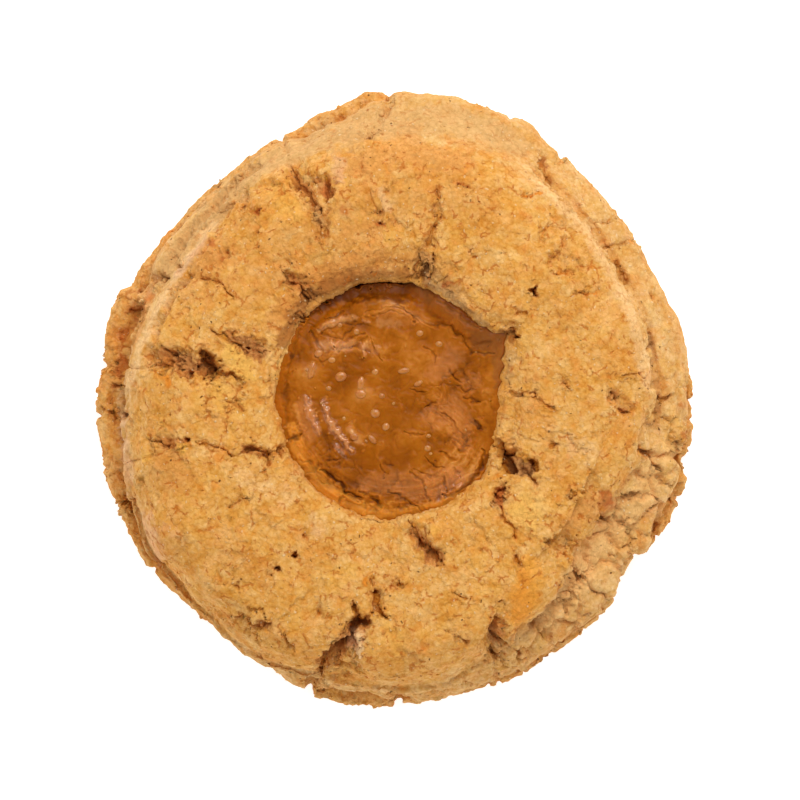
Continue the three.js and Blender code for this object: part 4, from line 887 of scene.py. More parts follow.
filling = {
    "columns": 760, # points round the spread
    "triangles": 120000, # what is kept of the relief
    "level": dough["spreadLevel"],
    "floor": dough["wellFloor"],
    "tucked": 0.6, # how far the spread runs on under the wall
    "rimFall": ring([(0, 0), (16, -0.4), (30, -0.6), (45, -1), (66, -0.8), (76, 0.6), (85, 1.4), (105, 1.7),
                     (125, 1.3), (138, 0.6), (150, 0.1), (190, 0), (215, 0), (250, 0), (285, 0), (305, 0.2),
                     (320, 0.6), (335, 0.5), (350, 0.1)]),
    # rows of points from one bend of the profile to the next
    "rows": [4, 10, 5, 5, 4, 6, 14, 14, 50, 74],
    # overlapping flakes: size, seed, how far they stand apart, how deep the gaps are
    "flakes": [(3.2, 71, 0.07, 0.10), (1.5, 72, 0.035, 0.05)],
    # where the skin is wrinkled: x, y, and how far out it is fully and no longer so
    "slanting": (9.0, -1.0, 4.0, 8.5),
    "wrinkled": (-7.5, 10.0, 2.5, 5.5),
    # how wide the wrinkles along the rim and the slanting ones are
    "rimWrinkle": 0.95,
    "slantWrinkle": 1.2,
    # folds, as height and a route of (x, y, width): below 0 a crease, above 0 a ridge
    "folds": [
        (-0.16, [(-16.2, -3.5, 0.7), (-16.4, 1, 0.9), (-15.8, 5.6, 0.7), (-15.2, 6.8, 0.9),
         (-14, 10.6, 0.5)]),
        (-0.36, [(-15.9, -6, 0.64), (-14.8, -5.6, 0.88), (-14, -5.2, 0.32)]),
        (-0.23, [(-14.2, -8.8, 0.32), (-12.8, -9.2, 0.48)]), (-0.21, [(-10, -9.2, 0.32), (-8.6, -8.9, 0.4)]),
        (-0.29, [(-11.2, -10.4, 0.32), (-10.2, -11.2, 0.56), (-9.2, -12, 0.4), (-7.8, -12.8, 0.64),
         (-7.3, -13.6, 0.4), (-6, -14.5, 0.56), (-5, -14.7, 0.24)]),
        (-0.28, [(-5.4, -13.5, 0.32), (-3.7, -14.5, 0.64), (-2.7, -15.2, 0.4), (-2.1, -16.2, 0.56)]),
        (-0.26, [(-0.6, -13.7, 0.32), (1.6, -14.7, 0.64), (2.8, -16, 0.48), (4.4, -17.2, 0.32)]),
        (-0.32, [(-7.6, -14.2, 0.4), (-8, -15.2, 0.64), (-8.8, -16.2, 0.48)]),
        (-0.26, [(7.2, -11.5, 0.32), (7.4, -12.8, 0.48), (7.8, -13.8, 0.24)]),
        (-0.23, [(9, -10, 0.32), (9.5, -10.9, 0.56), (9.9, -11.7, 0.24)]),
        (-0.24, [(2.2, -10.8, 0.24), (3.8, -12.2, 0.56), (4.7, -13.4, 0.32), (5.2, -14.8, 0.48)]),
        (-0.2, [(2.8, -10.4, 0.24), (5.4, -11.4, 0.4)]),
        (-0.23, [(-2.3, -9.6, 0.24), (-1.7, -10.7, 0.48), (-0.8, -11.1, 0.24)]),
        (-0.18, [(-1.7, -9.4, 0.32), (-0.1, -10.1, 0.24)]),
        (-0.21, [(2.2, 1.6, 0.24), (3.6, 1.2, 0.48), (4.9, 1.2, 0.24)]),
        (-0.26, [(8, 4.7, 0.4), (9, 3.8, 0.64), (9.8, 2.5, 0.32)]),
        (-0.24, [(7, -2, 0.32), (8.3, -2.8, 0.56), (9.3, -4.2, 0.4), (11.2, -6.1, 0.48)]),
        (-0.2, [(4.7, -1.3, 0.24), (5.9, -0.4, 0.48)]), (-0.23, [(6.7, -7.7, 0.32), (8.7, -8.8, 0.48)]),
        (-0.32, [(11.6, -3.1, 0.4), (12.4, -3.8, 0.64), (13, -4.4, 0.32)]),
        (-0.23, [(10.6, 0.4, 0.4), (11.8, -0.2, 0.64), (12.9, -0.5, 0.32)]),
        (-0.21, [(-8.4, 7.3, 0.24), (-5.7, 8.3, 0.48), (-4.1, 9.4, 0.32)]),
        (-0.17, [(-12.9, 11.4, 0.48), (-10.4, 9.8, 0.4), (-7.9, 9.2, 0.32), (-6.6, 10.2, 0.4),
         (-5.2, 11.5, 0.24)]),
        (-0.21, [(-3.7, 9.4, 0.24), (-2.8, 7, 0.48), (-1.3, 5.9, 0.24)]),
        (-1.4, [(-12.8, 14.3, 0.72), (-11.4, 14.7, 0.64), (-10.2, 14.7, 0.32)]),
        (-1.6, [(-14.2, 12.4, 0.96)]),
        (-1, [(-8.2, 16.9, 0.4), (-5.7, 17.5, 0.64), (-3, 17.8, 0.48), (0, 17.7, 0.56), (2.4, 17.6, 0.32)]),
        (-0.24, [(0.4, 14.4, 0.3), (2.6, 12.7, 0.5), (5.1, 11.5, 0.4), (8.3, 11, 0.6), (10.1, 9.5, 0.5),
         (11.3, 7.3, 0.4), (13.2, 7, 0.5), (15.2, 6.6, 0.4)]),
        (-0.22, [(6.8, 14.7, 0.3), (9, 13.2, 0.5), (11.1, 11.5, 0.4), (13, 10.6, 0.3)]),
        # the wrinkled place at the upper left
        (-0.22, [(-12.7, 10, 0.3), (-11.4, 8, 0.5), (-9.9, 7.5, 0.4), (-7.9, 8.7, 0.5), (-5.9, 9.5, 0.3),
         (-4.4, 10, 0.2)]),
        (-0.16, [(-11.6, 9.6, 0.2), (-10.4, 10.3, 0.4), (-8.9, 10.7, 0.3), (-7.4, 11.4, 0.4),
         (-6.4, 11.2, 0.2)]),
        (-0.22, [(-10.6, 12.2, 0.2), (-8.8, 12.4, 0.4), (-7.6, 13.2, 0.3)]),
        (-0.2, [(-6.6, 8, 0.2), (-4.9, 8, 0.4), (-3.6, 7.2, 0.2)]),
        (-0.2, [(-12, 6.4, 0.2), (-10.9, 5.8, 0.4), (-9.6, 6.2, 0.2)]),
        (-0.18, [(-4.4, 13.4, 0.2), (-0.4, 14.2, 0.4), (2.4, 13, 0.3), (3.9, 11.6, 0.2)]),
        (-0.16, [(-3.6, 12.6, 0.2), (-0.4, 13.4, 0.3), (1.6, 12.4, 0.2)]),
        (0.2, [(-9.4, 6.6, 0.5), (-6.4, 7.4, 0.6), (-3.4, 8.6, 0.5)]),
        (0.18, [(-11.8, 11, 0.5), (-9.4, 11.6, 0.6), (-6.6, 12.2, 0.5)]),
        (0.16, [(-1, 10.6, 0.6), (1.6, 9.8, 0.7)]),
        (-0.2, [(4.4, 7.8, 0.2), (5.8, 6.6, 0.4), (6.2, 5.4, 0.2)]),
        (-0.2, [(1.4, -4.4, 0.2), (3, -5.2, 0.4), (4.6, -5, 0.2)]),
        (-0.22, [(4.4, -8.6, 0.2), (6, -9.6, 0.4), (7.6, -9.8, 0.2)]),
        (-0.2, [(9.4, 1.8, 0.2), (10.8, 1.2, 0.4), (12.4, 1.6, 0.2)]),
        (-0.35, [(13.1, -7, 0.3), (13.2, -10, 0.6), (11, -12.9, 0.5), (7.6, -14.6, 0.4)]),
        (0.21, [(-15, -0.8, 0.64), (-13.7, -4.2, 0.56)]),
        (0.24, [(-13.3, 0.5, 0.4), (-12.4, -2.4, 0.6), (-11.3, -4.9, 0.4)]),
        (0.36, [(-10.8, 0, 0.4), (-9.8, -3.2, 0.6), (-8.7, -4.8, 0.6), (-6.1, -7.9, 0.4)]),
        (0.27, [(-6.8, -4.4, 0.88), (-5.3, -6.4, 1.12)]), (0.18, [(-8.8, -7.1, 0.64), (-7.5, -8.2, 0.64)]),
        (0.18, [(-9.3, 8.6, 0.56), (-7.3, 8.6, 0.56)]), (0.18, [(-4.5, 8.4, 0.48), (-4.5, 7, 0.56)]),
        (0.16, [(-3.4, 13.2, 0.5), (-0.2, 14.6, 0.7), (1.6, 13.8, 0.6), (2.9, 12.2, 0.6), (6, 11.1, 0.4)]),
        (0.15, [(-4.9, 12, 0.64), (-3.8, 11.8, 0.56)]), (0.18, [(-1.4, 7.3, 1.12)]),
        (0.15, [(-9.4, 7.5, 0.96)]), (0.07, [(-14, -8.2, 1.6), (-11.6, -11.4, 1.8), (-9, -14.2, 1.6)]),
        (0.07, [(-6.2, -15.9, 0.96), (-3.4, -16.6, 0.96)]), (0.15, [(-0.8, -15.6, 0.8), (1.6, -16.8, 0.8)]),
        (0.18, [(4.6, -15.8, 0.8), (7.2, -14.9, 0.96), (9.4, -13.2, 0.64)]),
        (0.18, [(9.2, -8, 0.8), (11.8, -8.8, 0.72)]),
        (0.18, [(5.9, -2.6, 0.72), (8.2, -5, 0.8), (9.6, -6.8, 0.64)]),
        (0.15, [(11, 3.8, 0.72), (12.6, 1.6, 0.72)]),
    ],
    # where the spread is wettest: share, and a route
    "wetPlaces": [
        (1, [(-10.9, 0.2, 0.8), (-9.9, -3, 1.4), (-8.7, -4.8, 1.4), (-6.1, -7.9, 1.1)]),
        (0.9, [(-13.4, 0.5, 0.8), (-12.4, -2.4, 1.3), (-11.3, -4.9, 1)]),
        (0.7, [(-9.2, -6.6, 0.8), (-7.5, -8.4, 0.9)]), (0.5, [(-6.8, -4.4, 0.7), (-5.3, -6.4, 0.9)]),
        (0.35, [(-10.8, 11, 1.4), (-8.4, 12, 1.6)]),
        (0.35, [(-11.4, 8.2, 1.4), (-9, 8.4, 1.6), (-6.6, 7.6, 1.2)]), (0.4, [(-12.4, 4.5, 1.4)]),
        (0.4, [(-3, 7.4, 1.6), (-4.6, 8, 1.2)]), (0.2, [(-0.2, 14.4, 1), (2.4, 13, 1)]),
        (0.35, [(7, -14, 2), (10, -11.6, 2)]),
    ],
    # colours of the spread, as sRGB: deep and umber also paint shade under the wall and on its slope, and the
    # pale and pinkish tints paint highlights on the ridges
    "colours": {
        "umber": "#8A5020", "skin": "#CC8C4E", "deep": "#5A2400", "hollow": "#924A06", "caramel": "#AA5A04",
        "toffee": "#BC743A", "lip": "#D4862A", "paleHighlight": "#D2965A", "pinkHighlight": "#CC9064",
    },
    # stains: colour, share, and a route
    "stains": [
        ("caramel", 0.6, [(-16.7, -2.5, 2.4), (-16.9, 3, 2.4), (-15.2, 8, 2), (-13, 11.2, 1.8),
         (-10, 13.6, 1.6)]),
        ("lip", 0.75, [(-15.6, -4, 1.4), (-14.6, -7, 2.2), (-12.2, -10.6, 2.6), (-9.6, -13.8, 2.6),
         (-5.2, -16.2, 2.2)]),
        ("lip", 0.7, [(-5.2, -16.2, 2.2), (-1.2, -16.8, 1.8), (2.3, -16.8, 1.8), (6.4, -15.8, 1.6),
         (9.6, -14.2, 1.4)]),
        # painted shadow: the north band of the skin, under the wall's lip
        ("deep", 0.85, [(-12.6, 13.4, 1.6), (-9, 15.6, 2.8), (-4.6, 16.8, 4.2), (-0.2, 17, 4.6),
         (3.4, 16.4, 3.8)]),
        # the spread is smeared up the north-east wall here, and these stains paint shade on that slope and
        # along its edge
        ("hollow", 0.75, [(3.4, 15.4, 2.4), (6.4, 13.4, 3), (9.4, 11.6, 3), (12.6, 9.6, 3.2),
         (15.6, 9.2, 2.6)]),
        ("umber", 0.7, [(4.4, 16.4, 2.4), (8.8, 14.2, 3.8), (12, 12.2, 4), (14.8, 10.6, 4),
         (17.2, 10.4, 3)]),
        ("umber", 0.7, [(12.6, 8.8, 2.6), (15.6, 7.4, 3.4), (15.8, 4.6, 2.4), (15.4, 2.2, 1.4)]),
        ("deep", 0.7, [(5.4, 16.6, 0.9), (8.6, 14.4, 1), (11.6, 12.2, 1), (14.4, 10.6, 1),
         (17.6, 10.4, 0.9)]),
        ("umber", 0.7, [(17.6, 9.4, 0.9), (16.6, 6.4, 1), (16.4, 3.4, 0.9)]),
        ("deep", 0.25, [(8.3, 10.9, 0.6), (10.1, 9.4, 0.6)]), ("deep", 0.7, [(-15.4, 6.8, 0.9)]),
        ("deep", 0.6, [(-15.2, -5.7, 1.2)]), ("hollow", 0.5, [(-6.4, 4.6, 7)]),
        ("hollow", 0.35, [(0.6, -1.6, 8)]), ("hollow", 0.45, [(-4.6, -10.4, 4), (0.4, -8.6, 5)]),
        ("hollow", 0.4, [(7, 11, 4), (10.4, 7.4, 4)]), ("deep", 0.5, [(11.6, -3.2, 1), (13, -4.4, 0.8)]),
        ("toffee", 0.5, [(5.6, -2.6, 4), (9, -1.4, 5), (10.4, -6.6, 3.6)]),
        ("toffee", 0.6, [(6.4, 4.4, 4), (8.6, 6.6, 3.6)]),
        ("toffee", 0.6, [(-4.6, -12.6, 2.4), (-0.6, -12.4, 3.6), (4, -13.4, 5), (9.4, -11.2, 3.6)]),
        ("toffee", 0.5, [(-13.4, -1, 3), (-12.6, -5, 3)]),
        ("toffee", 0.4, [(-10.8, 7.6, 3.6), (-7.4, 8.8, 2.4)]), ("toffee", 0.45, [(11.6, 2.6, 3.6)]),
        ("toffee", 0.4, [(-1, 12.6, 3.6), (3.4, 12.2, 2.6)]),
        # paler ridges of the skin, with painted highlights on them
        ("paleHighlight", 0.35, [(-10.8, 0, 0.5), (-9.8, -3.2, 1.1), (-8.7, -4.8, 0.9), (-6.2, -7.8, 0.5)]),
        ("paleHighlight", 0.25, [(-4.6, 14, 0.3), (-1.6, 14.9, 0.4), (0.8, 14.4, 0.4), (2.8, 12.6, 0.4),
         (5.8, 11.4, 0.3)]),
        ("paleHighlight", 0.45, [(-11.4, 10.6, 1), (-9, 11.6, 1.4), (-6, 12.4, 1.2)]),
        ("paleHighlight", 0.4, [(-10.8, 8.2, 1.2), (-8.4, 7.8, 1.4), (-6, 8.6, 1)]),
        ("paleHighlight", 0.35, [(-13.2, 3.8, 1.4), (-12.6, 5.6, 1.2)]),
        ("paleHighlight", 0.3, [(-2.4, 11.6, 1.6), (0.4, 11, 1.4)]),
        # painted highlights on small humps and ridges
        ("pinkHighlight", 0.5, [(-4.5, 8.4, 0.5), (-4.5, 7.2, 0.6)]),
        ("pinkHighlight", 0.5, [(-8.8, -7.2, 0.7), (-7.6, -8.1, 0.7)]),
        ("caramel", 0.5, [(-13.4, -6.6, 1.6), (-12.4, -8.8, 1.8)]),
        # painted shade along the south-east edge, where the spread meets the wall
        ("deep", 0.6, [(9.6, -13.6, 0.6), (11.3, -12.2, 1), (13, -10.2, 1), (13.9, -8.2, 0.7)]),
        # painted highlights on two more humps
        ("pinkHighlight", 0.45, [(-4.9, 12, 0.6), (-3.9, 11.8, 0.6)]),
        ("paleHighlight", 0.4, [(-6.7, -4.5, 0.7), (-5.4, -6.3, 0.9)]),
    ],
}


def fillingProfile(edge, fall):
    # (radius, height) of each bend of the profile, from the middle of the bottom round to that of the skin
    level, floor, tucked = filling["level"], filling["floor"], filling["tucked"]
    still = np.zeros_like(edge)
    return [
        (still, still + floor - 0.05), (edge - 5.2, still + floor - 0.05), (edge - 1.9, still + floor + 0.5),
        (edge - 0.1, level - 2.6 - fall), (edge + tucked, level - 0.9 - fall),
        (edge + tucked - 0.15, level - 0.2 - fall), (edge - 0.7, level - fall),
        (edge - 1.9, level - 0.8 * fall), (edge - 3.1, still + level), (still + 7.5, still + level),
        (still, still + level),
    ]


def skinRelief(points, angles, radii, warp):
    # waves, wrinkles, flakes and the mounds over the bubbles
    def away(x, y):
        return np.hypot(points[:, 0] - x, points[:, 1] - y)

    def around(x, y, full, none):
        return smooth(none, full, away(x, y))

    swirled = warp[:, [0, 1, 0]]
    relief = 0.22 * layers(points, 6.0, 2, 61) + 0.1 * layers(points + swirled * 1.5, 2.2, 2, 62, 0.5)
    # wrinkles along the rim at the bottom, and slanting ones on the right
    rim = smooth(9.5, 12.5, radii) * smooth(196, 215, angles) * smooth(345, 325, angles)
    along = np.stack([radii, np.radians(angles) * 3.4, angles * 0], -1) + 40
    rimWave = layers(along, filling["rimWrinkle"], 3, 63, 0.55)
    slant = around(*filling["slanting"])
    across, along = points[:, 0] + points[:, 1], (points[:, 0] - points[:, 1]) * 0.28
    slantWave = layers(np.stack([across, along, angles * 0], -1), filling["slantWrinkle"], 3, 64, 0.55)
    relief += 0.16 * rim * rimWave + 0.08 * slant * slantWave
    wrinkled = np.maximum(np.maximum(rim, slant), around(*filling["wrinkled"]))
    for size, seed, apart, gap in filling["flakes"]:
        joint, own, lean = chunks(points * (1, 1, 0.3) + swirled * size * 0.25, size, seed)
        flaky = 0.15 + 0.85 * wrinkled * smooth(-0.3, 0.4, layers(points, 3.5, 2, seed))
        relief += flaky * ((own - 0.5) * apart + 0.08 * lean - gap * smooth(0.09 * size, 0.0, joint))
    for x, y, wide, long, turn in bubbles["spots"]:
        relief += 0.2 * wide * smooth(1.5, 0.2, away(x, y) / (wide + 0.3))
    return relief


def foldSkin(relief, xy, jitter):
    for high, route in filling["folds"]:
        inside, ratio = nearStroke(xy, route)[:2]
        ratio = ratio * (1 + 0.7 * jitter[inside])
        if high < 0:
            # a crease has a low bank on each side
            bank = 0.22 * high * smooth(1.0, 1.8, ratio) * smooth(3.4, 1.9, ratio)
            relief[inside] += high * smooth(1.25, 0.0, ratio) - bank
        else:
            relief[inside] += high * smooth(2.2, 0.2, ratio)


def makeFilling():
    columns, colourOf = filling["columns"], filling["colours"]
    angle = np.arange(columns) * 360.0 / columns
    bends = fillingProfile(wellEdge(angle), filling["rimFall"](angle))
    grid = turned(splineRows(bends, filling["rows"]), angle)
    points = grid.reshape(-1, 3)
    # rows at the bends where the skin begins and where the spread's side is out of sight
    row = np.repeat(np.arange(len(grid)), columns)
    hidden, tuck, skin = np.cumsum([0] + filling["rows"])[[2, 4, 6]]
    onTop = smooth(tuck, skin, row)
    angles = np.mod(np.degrees(np.arctan2(points[:, 1], points[:, 0])), 360)
    radii = np.hypot(points[:, 0], points[:, 1])
    warp = np.stack([layers(points, 3.0, 3, seed, 0.5) for seed in (65, 66)], -1)
    jitter = layers(points, 0.9, 2, 68, 0.6)
    bent = points[:, :2] + warp * 0.3
    wander = np.stack([layers(points, 1.6, 2, seed, 0.6) for seed in (69, 70)], -1) * 0.3

    relief = skinRelief(points, angles, radii, warp)
    foldSkin(relief, bent + wander, jitter)
    moved = points.copy()
    moved[:, 2] += relief * onTop
    piece = closedMesh("cookie_filling", moved.reshape(grid.shape))
    tint, share = painted(bent, filling["stains"], colourOf, 0.35 * jitter, smooth(hidden, tuck, row))
    stain = np.column_stack([tint, share])
    putOnPoints(piece.data, "FLOAT_COLOR", {"stain": onceAtPoles(stain, columns)})
    # only the share of the wet places counts, so they borrow any colour
    wetPlaces = [("skin", share, route) for share, route in filling["wetPlaces"]]
    wet = painted(bent, wetPlaces, colourOf, 0.35 * jitter, onTop)[1]
    high = (relief * onTop).clip(-0.6, 0.6)
    putOnPoints(piece.data, "FLOAT", {"wet": onceAtPoles(wet, columns), "high": onceAtPoles(high, columns)})
    return thinned(piece, filling["triangles"])


def addNode(tree, kind, inputs=(), **settings):
    # a node with its settings. Inputs go by name or in order, and each is a value, a colour, an output, or a
    # node whose first output it takes
    node = tree.nodes.new(kind)
    stops = settings.pop("stops", [])
    for name, value in settings.items():
        setattr(node, name, value)
    while len(stops) > 2 and len(node.color_ramp.elements) < len(stops):
        node.color_ramp.elements.new(0.5)
    for i, (position, colour) in enumerate(stops):
        node.color_ramp.elements[i].position = position
        node.color_ramp.elements[i].color = linear(colour)
    slots = [slot for slot in node.inputs if slot.enabled]
    if isinstance(inputs, dict):
        slots = [next(slot for slot in slots if slot.name == name) for name in inputs]
        inputs = inputs.values()
    for slot, value in zip(slots, inputs):
        if isinstance(value, bpy.types.Node):
            value = next(output for output in value.outputs if output.enabled)
        if isinstance(value, bpy.types.NodeSocket):
            tree.links.new(value, slot)
        else:
            slot.default_value = linear(value) if str(value).startswith("#") else value
    return node


def newTree(name, inputs):
    # an empty tree with named inputs, a node maker for it, and what its inputs give
    tree = bpy.data.node_groups.new(name, "GeometryNodeTree")
    for label, kind in [("Surface", "Geometry")] + inputs:
        tree.interface.new_socket(label, in_out="INPUT", socket_type="NodeSocket" + kind)
    tree.interface.new_socket("Result", in_out="OUTPUT", socket_type="NodeSocketGeometry")
    add = partial(addNode, tree)
    return tree, add, add("NodeGroupInput").outputs


def grown(name, surface, tree, values):
    # a piece grown by the tree on a surface, as a plain mesh
    piece = placed(name, surface)
    modifier = piece.modifiers.new(name, "NODES")
    modifier.node_group = tree
    for item in tree.interface.items_tree:
        if item.in_out == "INPUT" and item.name in values:
            modifier[item.identifier] = values[item.name]
    return finished(piece, modifier)


# densities are per square metre, where the surface asks for as many as it can have
crumbs = {"density": 0.45e6, "smallest": 0.2, "largest": 0.9, "flatness": 0.7, "seed": 3}
sugar = {"density": 0.28e6, "smallest": 0.14, "largest": 0.4, "flatness": 0.9, "seed": 8}
lumpShape = {
    "radius": 0.54, # as a share of the lump's size
    "smallShare": 2.5, # the higher, the fewer large ones
    "uneven": 0.3, # how much each side may differ
    "tilt": 0.3, # radians
    "dentSize": 0.5,
    "dentDepth": 0.3,
}


def scatterTree():
    # small lumps strewn where an attribute asks for them
    tree, add, given = newTree("lumps on a surface", [
        ("Where", "String"), ("Density", "Float"), ("Smallest", "Float"), ("Largest", "Float"),
        ("Flatness", "Float"), ("Seed", "Int"), ("Material", "Material")])
    seed, uneven = given["Seed"], lumpShape["uneven"]
    dent, dentSize = lumpShape["dentDepth"] * mm, lumpShape["dentSize"] * mm
    asked = add("GeometryNodeInputNamedAttribute", {"Name": given["Where"]}, data_type="FLOAT")
    density = add("ShaderNodeMath", (asked, given["Density"]), operation="MULTIPLY")
    spots = add("GeometryNodeDistributePointsOnFaces", {"Mesh": given["Surface"], "Density": density,
                                                        "Seed": seed}, distribute_method="RANDOM").outputs
    # most of them are small
    chance = add("FunctionNodeRandomValue", {"Seed": seed}, data_type="FLOAT")
    large = add("ShaderNodeMath", (chance, lumpShape["smallShare"]), operation="POWER")
    span = add("ShaderNodeMath", (given["Largest"], given["Smallest"]), operation="SUBTRACT")
    size = add("ShaderNodeMath", (large, span, given["Smallest"]), operation="MULTIPLY_ADD")
    flat = add("ShaderNodeCombineXYZ", (1.0, 1.0, given["Flatness"]))
    sides = add("FunctionNodeRandomValue", {"Min": (1 - uneven,) * 3, "Max": (1 + uneven,) * 3, "Seed": seed},
                data_type="FLOAT_VECTOR")
    scaled = add("ShaderNodeVectorMath", (flat, sides), operation="MULTIPLY")
    scaled = add("ShaderNodeVectorMath", (scaled, size), operation="SCALE")
    spin = add("FunctionNodeRandomValue", {"Min": -3.1, "Max": 3.1, "Seed": seed}, data_type="FLOAT")
    tilt = add("ShaderNodeCombineXYZ", (lumpShape["tilt"], 0.0, spin))
    turn = add("FunctionNodeRotateRotation", (spots["Rotation"], tilt), rotation_space="LOCAL")
    lump = add("GeometryNodeMeshIcoSphere", {"Radius": lumpShape["radius"], "Subdivisions": 1})
    strewn = add("GeometryNodeInstanceOnPoints",
                 {"Points": spots["Points"], "Instance": lump, "Rotation": turn, "Scale": scaled})
    real = add("GeometryNodeRealizeInstances", (strewn,))
    # each lump is dented in its own way
    dents = add("ShaderNodeTexNoise", {"Scale": 1 / dentSize, "Detail": 1.0}).outputs["Color"]
    shift = add("ShaderNodeVectorMath", (dents, (dent,) * 3, (-dent / 2,) * 3), operation="MULTIPLY_ADD")
    dented = add("GeometryNodeSetPosition", {"Geometry": real, "Offset": shift})
    made = add("GeometryNodeSetMaterial", {"Geometry": dented, "Material": given["Material"]})
    add("NodeGroupOutput", (made,))
    return tree


def strew(name, lumps, surface, where, tree, material):
    return grown(name, surface, tree, {
        "Where": where, "Density": lumps["density"], "Smallest": lumps["smallest"] * mm,
        "Largest": lumps["largest"] * mm, "Flatness": lumps["flatness"], "Seed": lumps["seed"],
        "Material": material})


bubbles = {
    # air bubbles that show at the surface: x, y, width, length, turn
    "spots": [
        (-8.05, 3.5, 0.8, 1, 20), (-5.05, 2.5, 0.6, 1.2, 80), (-5.05, 0.9, 0.8, 0.9, 0),
        (-9.9, 1.75, 0.4, 0.5, 0), (-2.9, 4.2, 0.5, 0.6, 30), (-1.9, 0.6, 0.45, 0.5, 0),
        (-2.9, -2, 0.75, 0.8, 0), (-1.3, -4, 0.6, 0.7, 60), (-3.3, -5.9, 0.45, 0.9, 130),
        (-6, -5.5, 0.6, 0.7, 0), (4.95, -7.25, 0.5, 0.6, 0), (1.4, 4.4, 0.5, 1, 10), (-9.4, 6, 0.5, 0.6, 0),
        (-12.4, 4.5, 0.6, 1.5, 75), (-11.4, 7, 0.6, 0.7, 40), (-5.7, 10.25, 0.5, 0.5, 0),
        (-9.7, 11.25, 0.4, 0.5, 0), (-8.2, 11.25, 0.4, 0.4, 0), (3.8, 10, 0.5, 0.6, 20),
        (6.7, 8.4, 0.5, 0.6, 0), (3.6, 2.5, 0.4, 0.8, 30),
    ],
    "extra": 12, # small ones strewn between them
    "within": 15.5, # how far from the middle they may lie
    "narrowest": 0.16,
    "widest": 0.34,
    "swollen": 1.8, # a ball this much wider than the bubble, and flattened, makes its dome
    "flatness": 0.32,
    # a bubble's skin is thin, so it shows paler, and it is a little wet
    "paler": 0.4,
    "high": 0.15,
    "wet": 0.5,
    "seed": 5,
}


def bubbleTree():
    # a flattened ball on every point, as long, wide and turned as the point says
    tree, add, given = newTree("bubbles on points", [("Flatness", "Float"), ("Material", "Material")])
    size = add("GeometryNodeInputNamedAttribute", {"Name": "size"}, data_type="FLOAT_VECTOR")
    turn = add("GeometryNodeInputNamedAttribute", {"Name": "turn"}, data_type="FLOAT")
    spin = add("ShaderNodeCombineXYZ", (0.0, 0.0, turn))
    flat = add("ShaderNodeCombineXYZ", (1.0, 1.0, given["Flatness"]))
    scaled = add("ShaderNodeVectorMath", (size, flat), operation="MULTIPLY")
    ball = add("GeometryNodeMeshUVSphere", {"Segments": 14, "Rings": 8, "Radius": 0.5})
    blown = add("GeometryNodeInstanceOnPoints",
                {"Points": given["Surface"], "Instance": ball, "Rotation": spin, "Scale": scaled})
    real = add("GeometryNodeRealizeInstances", (blown,))
    made = add("GeometryNodeSetMaterial", {"Geometry": real, "Material": given["Material"]})
    add("NodeGroupOutput", (made,))
    return tree


def makeBubbles(spread, material):
    surface = pointsOf(spread).astype(float)
    surface = surface[surface[:, 2] > (filling["floor"] + 3) * mm]
    draw = np.random.default_rng(bubbles["seed"])
    rows = list(bubbles["spots"])
    for extra in range(bubbles["extra"]):
        angle, radius = draw.uniform(0, 360), bubbles["within"] * draw.uniform(0, 1) ** 0.5
        wide = draw.uniform(bubbles["narrowest"], bubbles["widest"])
        rows.append(polar(angle, radius) + (wide, wide * draw.uniform(1, 1.5), draw.uniform(0, 180)))
    x, y, wide, long, turn = np.array(rows).T
    nearest = [np.argmin(np.hypot(surface[:, 0] - a, surface[:, 1] - b)) for a, b in zip(x * mm, y * mm)]
    mesh = bpy.data.meshes.new("bubble spots")
    mesh.from_pydata(np.column_stack([x * mm, y * mm, surface[nearest, 2]]).tolist(), [], [])
    sizes = np.column_stack([long, wide, (long + wide) / 2]) * bubbles["swollen"] * mm
    putOnPoints(mesh, "FLOAT_VECTOR", {"size": sizes})
    same = np.ones(len(rows))
    putOnPoints(mesh, "FLOAT", {
        "turn": np.radians(turn), "high": same * bubbles["high"], "wet": same * bubbles["wet"]})
    skin = linear(filling["colours"]["skin"])[:3] + [bubbles["paler"]]
    putOnPoints(mesh, "FLOAT_COLOR", {"stain": [skin] * len(rows)})
    values = {"Flatness": bubbles["flatness"], "Material": material}
    return grown("spread_bubbles", mesh, bubbleTree(), values)


def keptInside(piece, low, high):
    movePoints(piece, np.clip(pointsOf(piece), np.array(low), np.array(high)))


def newMaterial(name, noises):
    # an empty material, a node maker for it, and its noises, their sizes in mm
    material = bpy.data.materials.new(name)
    material.use_nodes = True
    material.node_tree.nodes.clear()
    add = partial(addNode, material.node_tree)
    place = add("ShaderNodeTexCoord").outputs["Object"]
    noise = {}
    for label, (size, detail, roughness) in noises.items():
        noise[label] = add("ShaderNodeTexNoise", {"Vector": place, "Scale": 1 / (size * mm), "Detail": detail,
                                                  "Roughness": roughness})
    return material, add, noise


def summed(add, start, *parts):
    # the start and every part times its weight
    for part, weight in parts:
        start = add("ShaderNodeMath", (part, weight, start), operation="MULTIPLY_ADD")
    return start


def share(add, most, *bounds):
    # the most where every value is full, and 0 where one of them is none
    for value, none, full in bounds:
        held = add("ShaderNodeMapRange", (value, none, full), interpolation_type="SMOOTHSTEP")
        most = add("ShaderNodeMath", (held, most), operation="MULTIPLY")
    return most


def coated(add, colour, coats):
    # a colour under coats, each with its share, its colour and how it is laid
    for amount, tint, blend in coats:
        colour = add("ShaderNodeMix", (amount, colour, tint), data_type="RGBA", blend_type=blend)
    return colour


def shaded(add, colour, height, finish):
    # a Principled surface with the small relief in its normals
    normal = add("ShaderNodeBump", {"Strength": 1.0, "Distance": mm, "Height": height})
    shader = add("ShaderNodeBsdfPrincipled", {"Base Color": colour, "Normal": normal, **finish})
    add("ShaderNodeOutputMaterial", {"Surface": shader})


